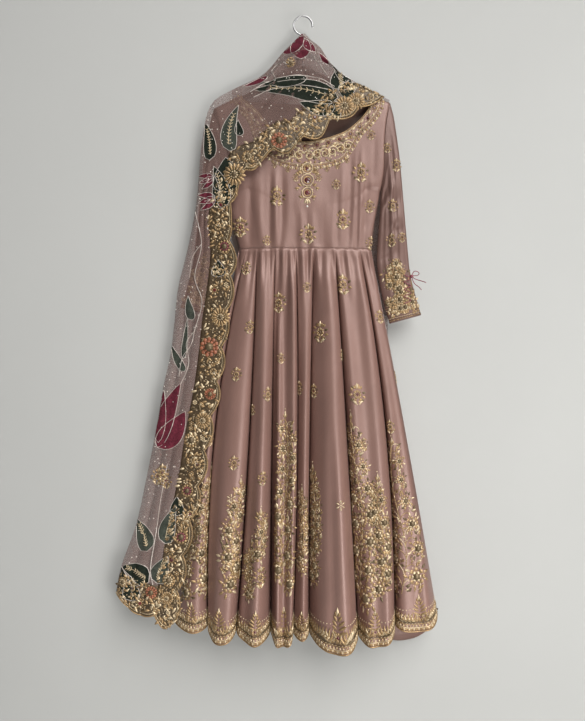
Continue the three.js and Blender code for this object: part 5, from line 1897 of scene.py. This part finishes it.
# On the border.
patches.lay("green", -178, -436, 96, 84, 74, vein=False)
patches.lay("green", 64, -262, 70, 50, 44, vein=False)
patches.lay("green", -440, -1412, 88, 74, 62, vein=False)
patches.lay("green", -408, -1414, 96, 58, 44, vein=False)
patches.lay("green", -204, -640, 92, 40, 34, vein=False)
patches.lay("green", -300, -1210, 92, 44, 34, vein=False)
rng_beads = np.random.default_rng(5)
for _ in range(240):
    row, across = rng_beads.uniform(0, 22), rng_beads.uniform(0.02, 1)
    p = dupatta_point(row, across * band_share(row))
    patches.outlines.stitch("bead", "pearl", float(p[0]), float(p[2]), 0, 1.3, 1.3, 1.2)
patches.make()


# ---------------------------------------------------------------- hook, hanger and cuff lacing
def smooth_path(points_list, count):
    at = np.arange(len(points_list))
    return curve(at, np.array(points_list, float))(np.linspace(0, len(points_list) - 1, count))


def build_hook():
    middle = HOOK_WIRE / 2 - HOOK_RADIUS
    turns = np.radians([-8, 6, 20, 37, 55, 72, 90, 107, 125, 142, 160, 177, 195, 210, 225, 237, 248])
    bend = [(HOOK_RADIUS * cos(a), 0, middle + HOOK_RADIUS * sin(a)) for a in turns]
    stem_top = middle - HOOK_RADIUS - 10
    path = smooth_path(bend + [(0, 0, stem_top), (0, 0, -90), (0, 0, -119)], 110)
    made = tube("hook_wire", path, HOOK_WIRE / 2, sides=16, materials=[STEEL])
    finish_piece(made, ["hanger_hook"])


def sleeve_front_y(x, z):
    """Depth of the sleeve's front at a place."""
    outer, inner, half, middle = (
        float(curve(column(SLEEVE, "outer_z"), column(SLEEVE, name))(z))
        for name in ("outer_x", "inner_x", "half", "middle")
    )
    off = (2 * x - outer - inner) / (outer - inner)
    return middle - half * np.sqrt(max(0.0, 1 - off * off))


def on_sleeve(across, down, off):
    """A place by the cuff's slit: across it, down it, and off the sleeve."""
    x, z = CUFF_SLIT["x"] + across, CUFF_SLIT["top"] - down
    return (x, sleeve_front_y(x, z) - LACE / 2 - LACE_CLEAR - off, z)


def lace_cord(name, path):
    return tube(name, path, LACE / 2, sides=10, materials=[FINISHES["wine"]])


def build_lacing():
    length = CUFF_SLIT["top"] - CUFF_SLIT["bottom"]
    zigzag = [
        on_sleeve(8.5 if i % 2 else -8.5, d, 0.3) for i, d in enumerate(np.linspace(14, length - 1, 9))
    ]
    lace = lace_cord("cuff_lacing", smooth_path(zigzag, 120))
    finish_piece(lace, ["cuff_lace"])
    turns = ((11, 15, 4.6), (17, 5, 3), (26, 6, 3), (29, 11, 3), (24, 15, 3), (14, 15.6, 4.6))
    loop = [on_sleeve(*p) for p in turns]
    bow = lace_cord("cuff_bow_loop", smooth_path(loop, 60))
    finish_piece(bow, ["cuff_bow"])
    middle = on_sleeve(11, 17, 4.6)
    bpy.ops.mesh.primitive_uv_sphere_add(
        segments=20, ring_count=12, radius=4.2 * MM, location=[v * MM for v in middle]
    )
    knot = bpy.context.object
    knot.name = "cuff_bow_knot"
    knot.scale = (1, 0.7, 1)
    bpy.ops.object.transform_apply(location=True, rotation=True, scale=True)
    bpy.ops.object.shade_smooth()
    knot.select_set(False)
    knot.data.materials.append(FINISHES["wine"])
    finish_piece(knot)
    tails = {
        "upper": ((14.3, 20.1, 4.6), (20, 23.5, 3), (27, 26, 3), (34, 28.5, 6), (44, 33, 12)),
        "lower": ((12.1, 21.4, 4.6), (15, 29, 2), (20, 36, 1.6), (28, 42, 2), (35, 50, 4)),
    }
    for which, places in tails.items():
        path = smooth_path([on_sleeve(*p) for p in places], 40)
        tail = lace_cord(f"lace_tail_{which}", path)
        finish_piece(tail, [f"cuff_lace_end_{which}"])
        length = float(np.linalg.norm(np.diff(path, axis=0), axis=1).sum()) * MM
        [v * MM for v in path[0]]
        [[v * MM for v in p] for p in path]


build_hook()
build_lacing()
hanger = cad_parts["hanger_body"]
hanger.data.materials.clear()
hanger.data.materials.append(HANGER)


# ---------------------------------------------------------------- cloth sizes
def area_of(grid):
    """Area of a grid of points, in square metres."""
    a, b, c, d = grid[:-1, :-1], grid[1:, :-1], grid[1:, 1:], grid[:-1, 1:]
    lower = np.linalg.norm(np.cross(b - a, c - a), axis=-1)
    upper = np.linalg.norm(np.cross(c - a, d - a), axis=-1)
    return float((lower + upper).sum() / 2) * MM * MM


def declare(grid, width=None):
    """Works out a sheet's area and its flat size. A sleeve's width is given, as its slanted rings are too
    long.
    """
    area = area_of(grid)
    across = width or np.linalg.norm(np.diff(grid, axis=1), axis=2).sum(1).max() * MM
    along = np.linalg.norm(np.diff(grid, axis=0), axis=2).sum(0).max() * MM


declare(bodice_front_grid)
declare(bodice_back_grid)
declare(skirt_front_grid)
declare(skirt_back_grid)
declare(sleeve_grids["right"], 0.2)
declare(sleeve_grids["left"], 0.2)
declare(cowl_grid)
declare(chest_grid)
declare(fall_grid)
declare(fall_border_grid)
declare(end_grid)
declare(cowl_back_grid)
declare(behind_grid)


# ---------------------------------------------------------------- stage, light and camera
WALL_Y = 0.036  # just behind the cloth, in metres
FLOOR_Z = -1.95
LAMP_WHITE = (1.0, 0.99, 0.97)


def plain(name, colour):
    """A plain matt paint."""
    made = bpy.data.materials.new(name)
    made.use_nodes = True
    shader = made.node_tree.nodes["Principled BSDF"]
    shader.inputs["Base Color"].default_value = (*colour, 1)
    shader.inputs["Roughness"].default_value = 0.9
    return made


def seen_from_front(made):
    """Shows a backdrop only to the camera, and only from its front, so that it blocks no light or view."""
    tree = made.node_tree
    ray = add_node(tree, "ShaderNodeLightPath")
    side = add_node(tree, "ShaderNodeNewGeometry")
    front = maths(tree, "SUBTRACT", 1.0, side.outputs["Backfacing"])
    both = maths(tree, "MULTIPLY", ray.outputs["Is Camera Ray"], front)
    clear = add_node(tree, "ShaderNodeBsdfTransparent")
    mix = add_node(tree, "ShaderNodeMixShader")
    tree.links.new(both, mix.inputs[0])
    tree.links.new(clear.outputs[0], mix.inputs[1])
    tree.links.new(tree.nodes["Principled BSDF"].outputs[0], mix.inputs[2])
    tree.links.new(mix.outputs[0], tree.nodes["Material Output"].inputs["Surface"])
    return made


def stage_plane(name, size, location, rotation, made):
    bpy.ops.mesh.primitive_plane_add(size=size, location=location, rotation=rotation)
    plane = bpy.context.object
    plane.name = name
    plane.data.materials.append(made)
    plane.select_set(False)


def wall_material():
    """Wall paint: nearly even, with faint roller marks, and painted shade that makes it a little darker at
    the left and lower down.
    """
    made = plain("painted_wall", (0.62, 0.62, 0.60))
    tree = made.node_tree
    where = add_node(tree, "ShaderNodeTexCoord").outputs["Object"]
    split = add_node(tree, "ShaderNodeSeparateXYZ", {"Vector": where})
    tone = spread(tree, noise(tree, where, 2.2, 5.0), 0.96, 1.04)
    # Painted shade: the wall's colour falls off towards the left and lower down, as the light does.
    side = spread(tree, split.outputs["X"], 0.81, 0.90, -0.8, -0.2)
    lower_painted_shade = spread(tree, split.outputs["Y"], 0.83, 1.0, -0.8, 0.7)
    both = maths(tree, "MULTIPLY", tone, maths(tree, "MULTIPLY", side, lower_painted_shade))
    shown = tinted(tree, (0.575, 0.58, 0.567), both)
    tree.links.new(shown, tree.nodes["Principled BSDF"].inputs["Base Color"])
    return seen_from_front(made)


stage_plane("wall", 6, (0, WALL_Y, -0.9), (radians(90), 0, 0), wall_material())
stage_plane("floor", 6, (0, 0, FLOOR_Z), (0, 0, 0), plain("pale_floor", (0.6, 0.6, 0.58)))


def area_light(name, place, target, size, power):
    data = bpy.data.lights.new(name, "AREA")
    data.size = size
    data.energy = power
    data.color = LAMP_WHITE
    lamp = bpy.data.objects.new(name, data)
    lamp.location = place
    lamp.rotation_euler = (Vector(target) - Vector(place)).to_track_quat("-Z", "Y").to_euler()
    scene.collection.objects.link(lamp)


sky = bpy.data.lights.new("key", "SUN")
sky.energy = 3.05
sky.angle = radians(50)
sky.color = (1.0, 0.985, 0.965)
key = bpy.data.objects.new("key", sky)
key.rotation_euler = Vector((-0.45, 0.85, -0.85)).to_track_quat("-Z", "Y").to_euler()
scene.collection.objects.link(key)
area_light("side", place=(2.2, -1.2, 0.2), target=(0.1, 0, -0.7), size=1.2, power=9)
area_light("low", place=(1.1, -2.2, -1.7), target=(-0.1, 0, -1.3), size=1.0, power=36)
area_light("back", place=(0.7, 2.6, 0.2), target=(0.0, 0, -0.9), size=1.6, power=34)

world = bpy.data.worlds.new("studio")
world.use_nodes = True
background = world.node_tree.nodes["Background"]
background.inputs["Color"].default_value = (0.86, 0.87, 0.88, 1)
background.inputs["Strength"].default_value = 0.10
scene.world = world

lens = bpy.data.cameras.new("camera")
lens.lens = 32.6
camera = bpy.data.objects.new("camera", lens)
camera.location = (-0.0257, -1.6, -0.8416)
camera.rotation_euler = (radians(90), 0, 0)
scene.collection.objects.link(camera)
scene.camera = camera
